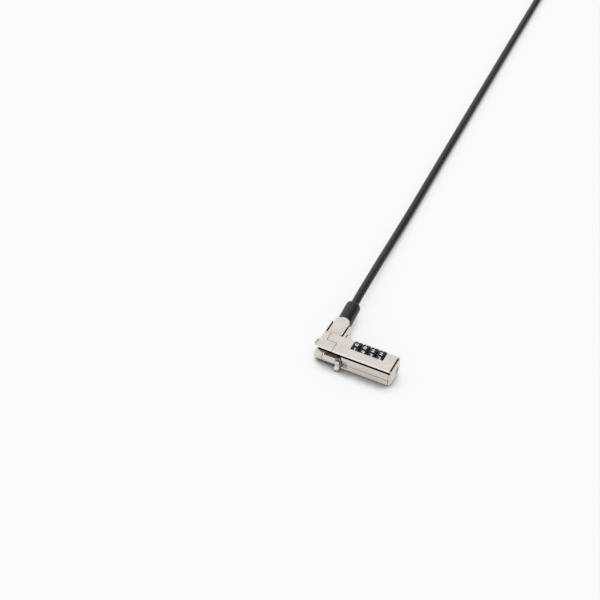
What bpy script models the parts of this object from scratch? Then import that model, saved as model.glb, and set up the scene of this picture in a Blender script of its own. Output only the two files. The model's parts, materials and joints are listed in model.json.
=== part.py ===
"""Laptop cable lock: a four-dial combination head with a pivoting, swivelling steel cable.

Drawing sizes are in millimetres. They are measured from the corner of the head where the device's
side, the front and the underside meet: x along the head, y towards the cable, z up. The model's
origin is the middle of the underside, and MM turns drawing sizes into metres.
"""
import math

import bmesh
import bpy
from mathutils import Matrix, Vector

MM = 0.001
FIT = 0.1                                   # clearance between two pieces that meet

# The head
HEAD_LENGTH = 43.0
HEAD_DEPTH = 11.5
HEAD_HEIGHT = 11.0
CASE_JOINT_Z = 3.4                          # top of the lower case
COVER_Z = 10.1                              # underside of the top cover
REVEAL_Z = 8.55                             # bottom of the dark reveal under the cover
REVEAL_DEPTH = 1.3
BODY_X = 3.75                               # where the main body starts behind the nose
CAP_X = 41.3                                # where the end cap starts
COVER_END_X = 41.8
END_GAP_WIDTH = 0.7                         # dark gap between the cover and the end cap
REVEAL_END_X = 42.45
END_GAP_Y = (0.5, 10.3)
CAP_CROWN = 0.2                             # how far the end cap bulges along the head
FRONT_INSET = 0.1                           # the main body's front stands back by this much
NOSE_STEP_X = 9.4                           # stepped joint between nose and cover, front part
NOSE_STEP_Y = 6.2
NOSE_WALL_Y = 2.9                           # front of the nose's wall, behind the recess
RECESS_END_X = 14.8                         # the front recess runs from the nose to here
SLOT_END_X = 18.4                           # the thumb catch travels as far as this
CASE_SCREW_XY = ((6.6, 7.3), (38.3, 3.0))
NOSE_SCREW_YZ = (9.3, 1.9)
RESET_YZ = (7.2, 5.6)
SEAM_CENTRE = (6.35, 9.86)                  # the cover's round lip over the front of the tongue
SEAM_RADIUS = 2.99
SEAM_HALF_ANGLE = 56.6

# The bolt: release slide, carrier, blade and spindle
BARREL_YZ = (2.5, 3.0)
BARREL_RADIUS = 2.85
BARREL_START_X = 3.85
BARREL_END_X = 11.4
ROD_YZ = (3.1, 2.2)
ROD_RADIUS = 0.6
CARRIER_X = (11.6, 13.0)
CARRIER_POCKET_X = (10.0, 16.4)
BLADE_Y = (8.35, 9.45)
BLADE_Z = (4.0, 5.8)
HOOK_Y = (6.3, 7.8)
HOOK_REACH = 3.3

# The dials
DIAL_YZ = (8.8, 7.7)
DIAL_RADIUS = 4.5
DIAL_WIDTH = 4.1
DIAL_PITCH = 4.6
DIAL_FIRST_X = 19.6
DIAL_COUNT = 4
DIGITS = 10
DIAL_BORE_RADIUS = 2.95
BAY_RADIUS = 4.7
BAY_X = (17.25, 35.75)
SLEEVE_RADIUS = 2.85
SPINDLE_RADIUS = 1.2
SPINDLE_END_X = 37.6
FIN_X = (-1.5, -0.95)                       # each fin's span, from its dial's centre

# The cable's end fittings
PIVOT_YZ = (16.55, 5.7)
LEFT_LUG_X = (0.05, 0.5)
YOKE_X = (1.05, 9.25)
YOKE_Z = (0.9, 10.5)
YOKE_PLATE = 0.6
YOKE_BLOCK_END_Y = 20.45
YOKE_ROUND_CENTRE_Y = 21.0                  # centre of the tongue's round end in plan
LUG_END_Y = 20.3
PIN_RADIUS = 1.05
PIN_HEAD_X = 11.3
SWIVEL_POINT = Vector((4.8, 20.9, 5.7))
SWIVEL_TURN = math.radians(3.9)             # the cable leaves the yoke at this angle in plan
BOOT_RADIUS = 4.1
BOOT_LENGTH = 18.9
BOOT_END_ROUND = 1.9
BOOT_END_DROP = 1.3

# The cable
CABLE_RADIUS = 2.2
CABLE_START = 1.1                           # how far behind the swivel point the cable begins
CABLE_SPACING = 9.0                         # distance between the points of the cable's run
FLOOR_AXIS_Z = 2.25                         # height of the cable's axis where it lies down
COIL_CENTRE = (18.0, 438.0)                 # the coil is wound clockwise, seen from above
COIL_RADIUS = 25.0                          # middle of the coil's turns
COIL_HALF_WIDTH = 7.75
COIL_HEIGHT = 13.35
LOOP_Z = 15.9
LOOP_START_RADIUS = 20.4
LOOP_TURN_PITCH = 4.7                       # the loop's end lies this far beside its start
LOOP_START = math.radians(-140.0)
SLEEVE_HALF_ANGLE = math.radians(19.0)


# ---------------------------------------------------------------- helpers

def remove_everything():
    for item in list(bpy.data.objects):
        bpy.data.objects.remove(item, do_unlink=True)


def make_material(name, colour, roughness, metallic):
    material = bpy.data.materials.new(name)
    material.use_nodes = True
    shader = material.node_tree.nodes["Principled BSDF"]
    shader.inputs["Base Color"].default_value = (*colour, 1.0)
    shader.inputs["Roughness"].default_value = roughness
    shader.inputs["Metallic"].default_value = metallic
    return material


def to_world(point):
    """Turns a drawing point in millimetres into a model point in metres."""
    return (Vector(point) - Vector((HEAD_LENGTH / 2, HEAD_DEPTH / 2, 0.0))) * MM


def on_axis(axis, along, u, v):
    """A point from a distance along an axis and the two other coordinates, in x, y, z order."""
    if axis == "X":
        return Vector((along, u, v))
    if axis == "Y":
        return Vector((u, along, v))
    return Vector((u, v, along))


def arc(centre, radius, start_deg, end_deg, steps):
    points = []
    for step in range(steps + 1):
        angle = math.radians(start_deg + (end_deg - start_deg) * step / steps)
        points.append((centre[0] + radius * math.cos(angle), centre[1] + radius * math.sin(angle)))
    return points


def rectangle(low_u, high_u, low_v, high_v):
    return [(low_u, low_v), (high_u, low_v), (high_u, high_v), (low_u, high_v)]


def skin(bm, rings, closed=False):
    """Skins one body over rings of points. An open run of rings gets an end face at each end."""
    loops = [[bm.verts.new(point) for point in ring] for ring in rings]
    pairs = list(zip(loops, loops[1:]))
    if closed:
        pairs.append((loops[-1], loops[0]))
    count = len(loops[0])
    for first, second in pairs:
        for i in range(count):
            j = (i + 1) % count
            bm.faces.new((first[i], first[j], second[j], second[i]))
    if not closed:
        bm.faces.new(list(reversed(loops[0])))
        bm.faces.new(loops[-1])
    return bm


def prism(axis, outline, low, high, bm=None):
    """An outline in the plane across the axis, pushed from low to high along it."""
    bm = bm or bmesh.new()
    return skin(bm, [[on_axis(axis, along, u, v) for u, v in outline] for along in (low, high)])


def block(x, y, z, bm=None):
    return prism("Z", rectangle(x[0], x[1], y[0], y[1]), z[0], z[1], bm)


def turned(axis, centre, profile, sides, hollow=False, bm=None):
    """A turned piece. The profile holds (along, radius) pairs, and closes on itself if hollow."""
    bm = bm or bmesh.new()
    rings = []
    for along, radius in profile:
        circle = arc(centre, radius, 0.0, 360.0 - 360.0 / sides, sides - 1)
        rings.append([on_axis(axis, along, u, v) for u, v in circle])
    return skin(bm, rings, closed=hollow)


def soften(bm, width, segments=1, corner_deg=30.0):
    """Rounds every edge that turns by more than the corner angle."""
    bmesh.ops.recalc_face_normals(bm, faces=bm.faces)
    limit = math.radians(corner_deg)
    edges = [edge for edge in bm.edges if edge.calc_face_angle(0.0) > limit]
    bmesh.ops.bevel(bm, geom=edges, offset=width, segments=segments, profile=0.5,
                    affect="EDGES", clamp_overlap=True)
    return bm


def add_body(name, pivot):
    """An empty on a joint's axis. The pieces that move together are its children."""
    empty = bpy.data.objects.new(name, None)
    empty.location = to_world(pivot)
    bpy.context.scene.collection.objects.link(empty)
    empty["pivot"] = list(pivot)
    return empty


def link_mesh(name, bm, body):
    bmesh.ops.recalc_face_normals(bm, faces=bm.faces)
    pivot = Vector(body["pivot"])
    for vertex in bm.verts:
        vertex.co = (vertex.co - pivot) * MM
    mesh = bpy.data.meshes.new(name)
    bm.to_mesh(mesh)
    bm.free()
    item = bpy.data.objects.new(name, mesh)
    item.parent = body
    bpy.context.scene.collection.objects.link(item)
    return item


def piece(name, bm, material, body, smooth_deg=40.0):
    item = link_mesh(name, bm, body)
    item.data.materials.append(material)
    item.data.shade_smooth()
    item.data.set_sharp_from_angle(angle=math.radians(smooth_deg))
    return item


def tool(name, bm, body):
    """A shape that only cuts or adds to a piece, and isn't one itself."""
    item = link_mesh(name, bm, body)
    item.hide_render = True
    item.display_type = "WIRE"
    return item


def combine(item, operation, *others):
    for other in others:
        modifier = item.modifiers.new(other.name, "BOOLEAN")
        modifier.operation = operation
        modifier.solver = "EXACT"
        modifier.object = other


def cut(item, *others):
    combine(item, "DIFFERENCE", *others)


# ---------------------------------------------------------------- the shared cutters

def dial_x(index):
    return DIAL_FIRST_X + DIAL_PITCH * index


def carrier_outline(grow):
    """The carrier plate's outline across the head, from the guide rod up to the spindle."""
    return [(2.2 - grow, 1.3 - grow), (4.5 + grow, 1.3 - grow), (6.4 + grow, 2.5 - grow),
            (10.1 + grow, 4.6 - grow), (10.1 + grow, 9.3 + grow), (7.1 - grow, 9.3 + grow),
            (6.9 - grow, 5.9 + grow), (4.4 - grow, 3.6 + grow), (2.2 - grow, 3.3 + grow)]


def make_cutters(head):
    """Rooms that two or more pieces of the case share, so that their walls line up."""
    cutters = {}
    cutters["barrel"] = tool("cut_barrel", turned(
        "X", BARREL_YZ, [(-3.0, 3.05), (RECESS_END_X + 0.05, 3.05)], 32), head)
    cutters["bay"] = tool("cut_dial_bay", turned(
        "X", DIAL_YZ, [(BAY_X[0], BAY_RADIUS), (BAY_X[1], BAY_RADIUS)], 48), head)
    cutters["slot"] = tool("cut_catch_slot", block(
        (RECESS_END_X - 0.2, SLOT_END_X), (-1.0, 1.7), (1.7, 6.1)), head)
    cutters["carrier"] = tool("cut_carrier_room", prism(
        "X", carrier_outline(0.15), *CARRIER_POCKET_X), head)
    cutters["recess"] = tool("cut_front_recess", block(
        (BODY_X - 1.0, RECESS_END_X), (-1.0, NOSE_WALL_Y), (-1.0, 12.0)), head)
    cutters["reveal"] = tool("cut_reveal", block(
        (-1.0, REVEAL_END_X), (-1.0, REVEAL_DEPTH), (REVEAL_Z, COVER_Z + 0.02)), head)
    cutters["pin"] = tool("cut_pin_bore", turned(
        "X", PIVOT_YZ, [(-1.0, PIN_RADIUS + FIT), (PIN_HEAD_X - FIT, PIN_RADIUS + FIT),
                        (PIN_HEAD_X - FIT, 1.9), (15.0, 1.9)], 24), head)
    screws = bmesh.new()
    for x, y in CASE_SCREW_XY:
        turned("Z", (x, y), [(-0.5, 1.45), (1.05, 1.45), (1.05, 0.75), (6.4, 0.75),
                             (6.4, 1.12), (10.5, 1.12)], 20, bm=screws)
    cutters["screws"] = tool("cut_case_screws", screws, head)
    return cutters


# ---------------------------------------------------------------- the case

def make_lower_case(head, cutters, material):
    """Floor and lower walls. It carries the return spring and the detent comb."""
    bm = soften(block((BODY_X, CAP_X - FIT), (0.0, HEAD_DEPTH), (0.0, CASE_JOINT_Z)), 0.4, 2)
    item = piece("lower_case", bm, material, head)
    rooms = bmesh.new()
    block((18.9, 30.0), (1.75, 4.4), (0.9, 4.0), rooms)
    block((17.3, 35.7), (5.2, 10.3), (1.3, 4.0), rooms)
    rooms_tool = tool("cut_lower_rooms", rooms, head)
    rod_bore = tool("cut_rod_bore", turned("X", ROD_YZ, [(14.0, 0.72), (36.0, 0.72)], 16), head)
    nose_bore = tool("cut_nose_screw", turned(
        "X", NOSE_SCREW_YZ, [(-1.0, 1.35), (1.3, 1.35), (1.3, 0.75), (9.5, 0.75)], 20), head)
    cut(item, cutters["recess"], cutters["barrel"], cutters["slot"], cutters["carrier"],
        rooms_tool, rod_bore, cutters["bay"], cutters["screws"], nose_bore)
    return nose_bore


def right_lug_outline():
    """The right-hand yoke lug in plan: a straight inner side and a flared outer one."""
    root_y = HEAD_DEPTH + 0.12
    return [(10.0, root_y), (15.6, root_y), (14.1, 12.6), (13.2, 14.0), (12.9, 15.2),
            (11.7, 17.0), (11.2, 18.6), (11.0, LUG_END_Y - 0.4), (10.7, LUG_END_Y),
            (10.0, LUG_END_Y)]


def make_main_body(head, cutters, material):
    """The die-cast block between the two covers, with bearings for the spindle."""
    bm = soften(block((BODY_X, CAP_X - FIT), (FRONT_INSET, HEAD_DEPTH),
                      (CASE_JOINT_Z + FIT, COVER_Z - FIT)), 0.15)
    item = piece("main_body", bm, material, head)
    lug = tool("add_right_lug", soften(
        prism("Z", right_lug_outline(), 1.3, HEAD_HEIGHT - 0.35), 0.2, 2), head)
    lug_root = tool("add_lug_root", block(
        (10.2, 13.9), (HEAD_DEPTH - 0.7, HEAD_DEPTH + 0.5), (3.7, 9.7)), head)
    spindle_bore = tool("cut_spindle_bore", turned(
        "X", DIAL_YZ, [(15.4, 1.32), (CAP_X + 1.0, 1.32)], 20), head)
    small = bmesh.new()
    block((BODY_X - 1.0, CARRIER_POCKET_X[0] + 0.5), (BLADE_Y[0] - FIT, BLADE_Y[1] + FIT),
          (BLADE_Z[0] - FIT, BLADE_Z[1] + FIT), small)
    block((39.9, CAP_X + 1.0), (1.9, 5.1), (6.5, 8.9), small)
    turned("X", RESET_YZ, [(38.5, 1.1), (CAP_X + 1.0, 1.1)], 16, bm=small)
    rooms = tool("cut_body_rooms", small, head)
    carrier_top = tool("cut_carrier_top", block(
        CARRIER_POCKET_X, (6.9, 10.25), (9.0, 12.0)), head)
    line = tool("cut_lug_line", block((11.4, 11.95), (11.8, 14.5), (9.4, 12.0)), head)
    combine(item, "UNION", lug_root, lug)
    cut(item, cutters["pin"], cutters["recess"], cutters["barrel"], cutters["slot"],
        cutters["carrier"], carrier_top, rooms, spindle_bore, cutters["bay"], cutters["screws"],
        cutters["reveal"], line)


def make_top_cover(head, cutters, material):
    """The plated cover. Its dial window is where the dial bay breaks through it."""
    step_x = NOSE_STEP_X + FIT
    lip = arc(SEAM_CENTRE, SEAM_RADIUS, 90.0 - SEAM_HALF_ANGLE, 90.0 + SEAM_HALF_ANGLE, 12)
    outline = [(step_x, 0.0), (COVER_END_X, 0.0), (COVER_END_X, HEAD_DEPTH)] + lip
    outline += [(BODY_X, HEAD_DEPTH), (BODY_X, NOSE_STEP_Y + FIT), (step_x, NOSE_STEP_Y + FIT)]
    bm = soften(prism("Z", outline, COVER_Z, HEAD_HEIGHT), 0.22, 2)
    item = piece("top_cover", bm, material, head)
    bosses = bmesh.new()
    for x, y in CASE_SCREW_XY:
        turned("Z", (x, y), [(6.55, 1.0), (COVER_Z + 0.3, 1.0)], 20, bm=bosses)
    combine(item, "UNION", tool("add_cover_bosses", bosses, head))
    threads = bmesh.new()
    for x, y in CASE_SCREW_XY:
        turned("Z", (x, y), [(5.0, 0.66), (10.2, 0.66)], 16, bm=threads)
    cut(item, tool("cut_threads", threads, head), cutters["bay"])


def make_nose_block(head, cutters, nose_bore, material):
    """The nose. Its L-shaped top meets the cover, and its back wall carries the left-hand lug."""
    x_end = BODY_X - FIT
    roof_outline = [(0.0, 0.0), (NOSE_STEP_X, 0.0), (NOSE_STEP_X, NOSE_STEP_Y),
                    (x_end, NOSE_STEP_Y), (x_end, HEAD_DEPTH), (0.0, HEAD_DEPTH)]
    roof = soften(prism("Z", roof_outline, COVER_Z, HEAD_HEIGHT), 0.22, 2)
    item = piece("nose_block", roof, material, head)
    wall = tool("add_nose_wall", soften(block(
        (0.02, x_end - 0.02), (NOSE_WALL_Y, HEAD_DEPTH - 0.02), (0.1, HEAD_HEIGHT - 0.4)), 0.15), head)
    lug = tool("add_left_lug", soften(
        block(LEFT_LUG_X, (HEAD_DEPTH - 0.6, LUG_END_Y), (1.3, HEAD_HEIGHT - 0.35)), 0.15), head)
    blade_way = tool("cut_blade_way", block(
        (-1.0, BODY_X + 1.0), (BLADE_Y[0] - FIT, BLADE_Y[1] + FIT),
        (BLADE_Z[0] - FIT, BLADE_Z[1] + FIT)), head)
    hook_seat = tool("cut_hook_seat", block(
        (-1.0, 1.6), (HOOK_Y[0] - FIT, HOOK_Y[1] + FIT), (BLADE_Z[0] - FIT, BLADE_Z[1] + FIT)), head)
    combine(item, "UNION", wall, lug)
    cut(item, cutters["barrel"], blade_way, hook_seat, cutters["pin"], nose_bore)


def make_nose_hook(head, material):
    """The fixed hook. Its lip catches behind the wall of the device's wedge slot."""
    outline = [(1.5, HOOK_Y[0]), (1.5, HOOK_Y[1]), (-HOOK_REACH + 0.3, HOOK_Y[1]),
               (-HOOK_REACH, HOOK_Y[1] - 0.4), (-HOOK_REACH, HOOK_Y[0] - 0.5),
               (-2.5, HOOK_Y[0] - 0.95), (-2.0, HOOK_Y[0] - 0.95), (-2.0, HOOK_Y[0])]
    bm = soften(prism("Z", outline, *BLADE_Z), 0.08)
    piece("nose_hook", bm, material, head)


def make_steady_foot(head, material):
    """A round-ended lug that steadies the head against the device's side."""
    profile = [(-1.2, 1.3), (-1.15, 1.7), (-0.85, 2.3), (-0.35, 2.7), (0.25, BARREL_RADIUS),
               (BODY_X - 0.15, BARREL_RADIUS), (BODY_X, BARREL_RADIUS - 0.15)]
    piece("steady_foot", turned("X", BARREL_YZ, profile, 28), material, head)


def make_end_cap(head, cutters, material):
    """The crowned end piece, with a large round at the bottom and a gap beside the cover."""
    corner = arc((HEAD_LENGTH - 2.5, 2.5), 2.5, -71.0, 0.0, 7)
    outer = corner + [(HEAD_LENGTH, HEAD_HEIGHT - 0.9), (HEAD_LENGTH - 0.05, HEAD_HEIGHT - 0.35),
                      (HEAD_LENGTH - 0.2, HEAD_HEIGHT)]
    inner = [(COVER_END_X + FIT, HEAD_HEIGHT), (COVER_END_X + FIT, COVER_Z - FIT),
             (CAP_X, COVER_Z - FIT)]
    rings = []
    stations = 8
    for station in range(stations + 1):
        share = 2.0 * station / stations - 1.0
        y = HEAD_DEPTH * station / stations
        inward = CAP_CROWN * share * share / (HEAD_LENGTH - CAP_X)
        crowned = [(x - inward * (x - CAP_X), z) for x, z in outer]
        rings.append([on_axis("Y", y, x, z) for x, z in crowned + inner])
    item = piece("end_cap", soften(skin(bmesh.new(), rings), 0.2, 2, 45.0), material, head)
    tenon = tool("add_cap_tenon", block((40.1, CAP_X + 0.6), (2.05, 4.95), (6.65, 8.75)), head)
    seat = tool("cut_reset_seat", turned(
        "X", RESET_YZ, [(CAP_X - 1.0, 1.1), (42.1, 1.1), (42.1, 1.75), (44.0, 1.75)], 24), head)
    gap = tool("cut_end_gap", block(
        (COVER_END_X - 1.0, COVER_END_X + END_GAP_WIDTH), END_GAP_Y, (REVEAL_Z + 0.2, 12.0)), head)
    combine(item, "UNION", tenon)
    cut(item, seat, gap, cutters["reveal"])


# ---------------------------------------------------------------- the bolt

def make_release_slide(bolt, material):
    """Barrel, ledge and thumb catch in one casting."""
    profile = [(BARREL_START_X, BARREL_RADIUS - 0.15), (BARREL_START_X + 0.15, BARREL_RADIUS),
               (BARREL_END_X - 0.4, BARREL_RADIUS), (BARREL_END_X, BARREL_RADIUS - 0.4)]
    item = piece("release_slide", turned("X", BARREL_YZ, profile, 28), material, bolt)
    ledge = tool("add_ledge", soften(block((4.6, 11.5), (0.0, 2.8), (4.4, 5.95)), 0.12), bolt)
    arm = tool("add_catch_arm", block((10.6, 14.35), (0.45, 1.6), (1.85, 5.9)), bolt)
    catch_outline = [(1.1, 5.6), (-0.9, 5.6), (-1.7, 5.25), (-1.95, 4.6), (-1.75, 3.9),
                     (-1.35, 3.3), (-1.35, 2.7), (-1.7, 2.2), (-2.7, 1.6), (-3.0, 1.1),
                     (-2.8, 0.6), (-1.3, 0.5), (-0.5, 1.3), (0.0, 1.9), (1.1, 1.9)]
    catch = tool("add_catch", soften(prism("X", catch_outline, 12.0, 14.3), 0.12), bolt)
    rod_seat = tool("cut_rod_seat", turned("X", ROD_YZ, [(7.9, 0.72), (12.0, 0.72)], 16), bolt)
    combine(item, "UNION", ledge, arm, catch)
    cut(item, rod_seat)


def make_bolt_carrier(bolt, material):
    """The plate that joins slide, blade and spindle, with the guide rod and its collar."""
    item = piece("bolt_carrier", prism("X", carrier_outline(0.0), *CARRIER_X), material, bolt)
    rod = tool("add_guide_rod", turned(
        "X", ROD_YZ, [(8.2, ROD_RADIUS), (19.1, ROD_RADIUS), (19.1, 1.15), (19.8, 1.15),
                      (19.8, ROD_RADIUS), (31.5, ROD_RADIUS)], 16), bolt)
    neck = tool("cut_spindle_neck", turned(
        "X", DIAL_YZ, [(CARRIER_X[0] - 1.0, 0.95), (CARRIER_X[1] + 1.0, 0.95)], 16), bolt)
    combine(item, "UNION", rod)
    cut(item, neck)


def make_locking_blade(bolt, material):
    """The blade beside the hook. Drawn back, it leaves the hook room to leave the slot."""
    outline = [(CARRIER_X[0] - FIT, BLADE_Y[0]), (CARRIER_X[0] - FIT, BLADE_Y[1]),
               (-HOOK_REACH + 0.6, BLADE_Y[1]), (-HOOK_REACH + 0.1, BLADE_Y[1] - 0.35),
               (-HOOK_REACH + 0.1, BLADE_Y[0])]
    piece("locking_blade", prism("Z", outline, *BLADE_Z), material, bolt)


def make_code_spindle(bolt, material):
    """The spindle, with one fin for each code sleeve."""
    profile = [(10.3, 0.85), (CARRIER_X[1] + FIT, 0.85), (CARRIER_X[1] + FIT, SPINDLE_RADIUS),
               (SPINDLE_END_X - 0.3, SPINDLE_RADIUS), (SPINDLE_END_X, SPINDLE_RADIUS - 0.3)]
    item = piece("code_spindle", turned("X", DIAL_YZ, profile, 20), material, bolt)
    fins = bmesh.new()
    for index in range(DIAL_COUNT):
        x = dial_x(index)
        block((x + FIN_X[0], x + FIN_X[1]), (DIAL_YZ[0] - 0.4, DIAL_YZ[0] + 0.4),
              (DIAL_YZ[1] + 0.5, DIAL_YZ[1] + 1.85), fins)
    combine(item, "UNION", tool("add_fins", fins, bolt))


def make_spindle_clip(bolt, material):
    """The retaining clip on the spindle's neck, open on one side."""
    section = rectangle(10.85, 11.35, 0.95, 1.38)
    item = piece("spindle_clip", turned("X", DIAL_YZ, section, 20, hollow=True), material, bolt)
    mouth = tool("cut_clip_mouth", block(
        (10.0, 12.0), (DIAL_YZ[0] - 0.6, DIAL_YZ[0] + 0.6), (DIAL_YZ[1], DIAL_YZ[1] + 3.0)), bolt)
    cut(item, mouth)


def make_return_spring(head, material):
    """A coil spring between the rod's collar and the end of its room in the lower case."""
    turns = 8
    steps = 10
    coil_radius = 0.95
    wire_radius = 0.16
    low = 19.8 + FIT + wire_radius
    high = 30.0 - FIT - wire_radius
    rings = []
    for step in range(turns * steps + 1):
        angle = 2.0 * math.pi * step / steps
        outward = Vector((0.0, math.cos(angle), math.sin(angle)))
        centre = Vector((low + (high - low) * step / (turns * steps), *ROD_YZ))
        centre += outward * coil_radius
        ring = []
        for side in range(5):
            around = 2.0 * math.pi * side / 5
            ring.append(centre + (outward * math.cos(around)
                                  + Vector((1.0, 0.0, 0.0)) * math.sin(around)) * wire_radius)
        rings.append(ring)
    piece("return_spring", skin(bmesh.new(), rings), material, head, smooth_deg=80.0)


# ---------------------------------------------------------------- the dials

def dial_outline(scale):
    """Ten flats with a groove between each two, as (y, z) points around the dial's axis."""
    points = []
    pitch = 2.0 * math.pi / DIGITS
    for digit in range(DIGITS):
        middle = digit * pitch + math.pi / 2.0
        for offset, radius in ((-0.5, DIAL_RADIUS - 0.5), (-0.34, DIAL_RADIUS),
                               (0.0, DIAL_RADIUS - 0.06), (0.34, DIAL_RADIUS)):
            angle = middle + offset * pitch
            points.append((DIAL_YZ[0] + radius * scale * math.cos(angle),
                           DIAL_YZ[1] + radius * scale * math.sin(angle)))
    return points


def make_dial(index, body, material):
    x = dial_x(index)
    half = DIAL_WIDTH / 2.0
    sides = 4 * DIGITS
    first = math.degrees(math.pi / 2.0 - 0.5 * 2.0 * math.pi / DIGITS)
    bore = arc(DIAL_YZ, DIAL_BORE_RADIUS, first, first + 360.0 - 360.0 / sides, sides - 1)
    sections = [(x - half, bore), (x - half, dial_outline(0.9)), (x - half + 0.55, dial_outline(1.0)),
                (x + half - 0.55, dial_outline(1.0)), (x + half, dial_outline(0.9)), (x + half, bore)]
    rings = [[on_axis("X", along, u, v) for u, v in outline] for along, outline in sections]
    piece("dial_%d" % (index + 1), skin(bmesh.new(), rings, closed=True), material, body)


def make_code_sleeve(index, body, material):
    """The sleeve inside a dial. Its web is notched, so a fin passes at the right digit only."""
    x = dial_x(index)
    web = (x + 0.4, x + 1.0)
    profile = [(x - 2.0, 2.1), (x - 2.0, SLEEVE_RADIUS), (x + 2.0, SLEEVE_RADIUS), (x + 2.0, 2.1),
               (web[1], 2.1), (web[1], 1.35), (web[0], 1.35), (web[0], 2.1)]
    item = piece("code_sleeve_%d" % (index + 1),
                 turned("X", DIAL_YZ, profile, 24, hollow=True), material, body)
    notch = tool("cut_notch_%d" % (index + 1), block(
        (x + 0.2, x + 1.2), (DIAL_YZ[0] - 0.65, DIAL_YZ[0] + 0.65),
        (DIAL_YZ[1] + 0.9, DIAL_YZ[1] + 2.05)), body)
    cut(item, notch)


def make_detent_comb(head, material):
    """A leaf spring in the lower case, with a bowed finger under each dial."""
    item = piece("detent_comb", block((17.9, 35.1), (5.5, 6.9), (1.4, 1.7)), material, head)
    finger = [(6.2, 1.45), (7.1, 1.5), (8.1, 2.55), (9.3, 2.75), (10.1, 2.2), (10.1, 2.42),
              (9.4, 3.02), (8.1, 2.82), (7.0, 1.85), (6.2, 1.65)]
    fingers = bmesh.new()
    for index in range(DIAL_COUNT):
        prism("X", finger, dial_x(index) - 0.9, dial_x(index) + 0.9, fingers)
    combine(item, "UNION", tool("add_fingers", fingers, head))


# ---------------------------------------------------------------- screws

def screw_slot(name, item, body, axis, centre, low, high, radius):
    wide = rectangle(centre[0] - radius - 0.2, centre[0] + radius + 0.2,
                     centre[1] - 0.25, centre[1] + 0.25)
    cut(item, tool(name, prism(axis, wide, low, high), body))


def make_screws(head, reset, material):
    for index, (x, y) in enumerate(CASE_SCREW_XY):
        profile = [(0.1, 1.25), (0.95, 1.25), (0.95, 0.58), (9.7, 0.58)]
        name = "case_screw_%d" % (index + 1)
        item = piece(name, turned("Z", (x, y), profile, 20), material, head)
        screw_slot("cut_" + name + "_slot", item, head, "Z", (x, y), -0.5, 0.5, 1.25)
    profile = [(0.15, 1.2), (1.15, 1.2), (1.15, 0.6), (9.2, 0.6)]
    item = piece("nose_screw", turned("X", NOSE_SCREW_YZ, profile, 20), material, head)
    screw_slot("cut_nose_screw_slot", item, head, "X", NOSE_SCREW_YZ, -0.5, 0.6, 1.2)
    profile = [(38.7, 0.95), (42.25, 0.95), (42.25, 1.6), (42.75, 1.6), (42.85, 1.5)]
    item = piece("reset_screw", turned("X", RESET_YZ, profile, 24), material, reset)
    screw_slot("cut_reset_slot", item, reset, "X", RESET_YZ, 42.5, 43.5, 1.6)


# ---------------------------------------------------------------- the cable's end fittings

def make_yoke_pin(head, material):
    end = PIN_HEAD_X + 0.65
    profile = [(0.15, PIN_RADIUS), (PIN_HEAD_X, PIN_RADIUS), (PIN_HEAD_X, 1.7),
               (end - 0.25, 1.7), (end, 1.3)]
    item = piece("yoke_pin", turned("X", PIVOT_YZ, profile, 24), material, head)
    screw_slot("cut_pin_slot", item, head, "X", PIVOT_YZ, end - 0.25, end + 0.5, 1.7)


def swivelled(bm):
    """Moves a shape drawn along +Y from the origin onto the cable's own axis."""
    turn = Matrix.Translation(SWIVEL_POINT) @ Matrix.Rotation(SWIVEL_TURN, 4, "Z")
    bmesh.ops.transform(bm, matrix=turn, verts=bm.verts)
    return bm


def make_cable_yoke(yoke, material):
    """The tongue. Its flat top stops against the cover, and its round lower front folds down."""
    radius = (YOKE_Z[1] - YOKE_Z[0]) / 2.0
    front = PIVOT_YZ[0] - radius
    side = [(27.0, YOKE_Z[0]), (27.0, YOKE_Z[1]), (front + 0.3, YOKE_Z[1]),
            (front, YOKE_Z[1] - 0.3)] + arc(PIVOT_YZ, radius, 180.0, 270.0, 10)
    item = piece("cable_yoke", prism("X", side, *YOKE_X), material, yoke)
    half = (YOKE_X[1] - YOKE_X[0]) / 2.0
    middle = (YOKE_X[0] + YOKE_X[1]) / 2.0
    corner_x = YOKE_X[1] - 0.65
    plan = [(YOKE_X[0], 9.0), (corner_x, 9.0), (corner_x, front + 0.1), (YOKE_X[1], front + 1.0)]
    plan += arc((middle, YOKE_ROUND_CENTRE_Y), half, 0.0, 180.0, 20)
    keep = tool("keep_plan", soften(prism("Z", plan, YOKE_Z[0], YOKE_Z[1]), 0.2, 2, 60.0), yoke)
    lip_room = tool("cut_lip_room", turned(
        "Z", SEAM_CENTRE, [(8.6, SEAM_RADIUS + 0.2), (12.0, SEAM_RADIUS + 0.2)], 40), yoke)
    boot_room = tool("cut_boot_room", block(
        (0.0, 12.0), (YOKE_BLOCK_END_Y, 28.0),
        (YOKE_Z[0] + YOKE_PLATE, YOKE_Z[1] - YOKE_PLATE)), yoke)
    bores = tool("cut_ferrule_bore", swivelled(turned(
        "Y", (0.0, 0.0), [(-12.0, 2.45), (-2.2, 2.45), (-2.2, 1.7), (1.0, 1.7)], 20)), yoke)
    pin_bore = tool("cut_yoke_pin_bore", turned(
        "X", PIVOT_YZ, [(-1.0, PIN_RADIUS + FIT), (12.0, PIN_RADIUS + FIT)], 24), yoke)
    combine(item, "INTERSECT", keep)
    cut(item, lip_room, boot_room, bores, pin_bore)


def make_cable_ferrule(swivel, material):
    """The swaged end of the cable: head, neck and the sleeve that grips the cable."""
    profile = [(-3.05, 2.1), (-2.9, 2.25), (-2.3, 2.25), (-2.3, 1.55), (0.3, 1.55), (0.3, 2.9),
               (9.0, 2.9), (9.0, 2.32), (1.0, 2.32), (1.0, 0.4), (0.6, 0.4), (0.6, 0.2)]
    bm = bmesh.new()
    rings = []
    for along, radius in profile:
        circle = arc((0.0, 0.0), radius, 0.0, 345.0, 23)
        rings.append([on_axis("Y", along, u, v) for u, v in circle])
    skin(bm, rings)
    piece("cable_ferrule", swivelled(bm), material, swivel)


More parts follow.
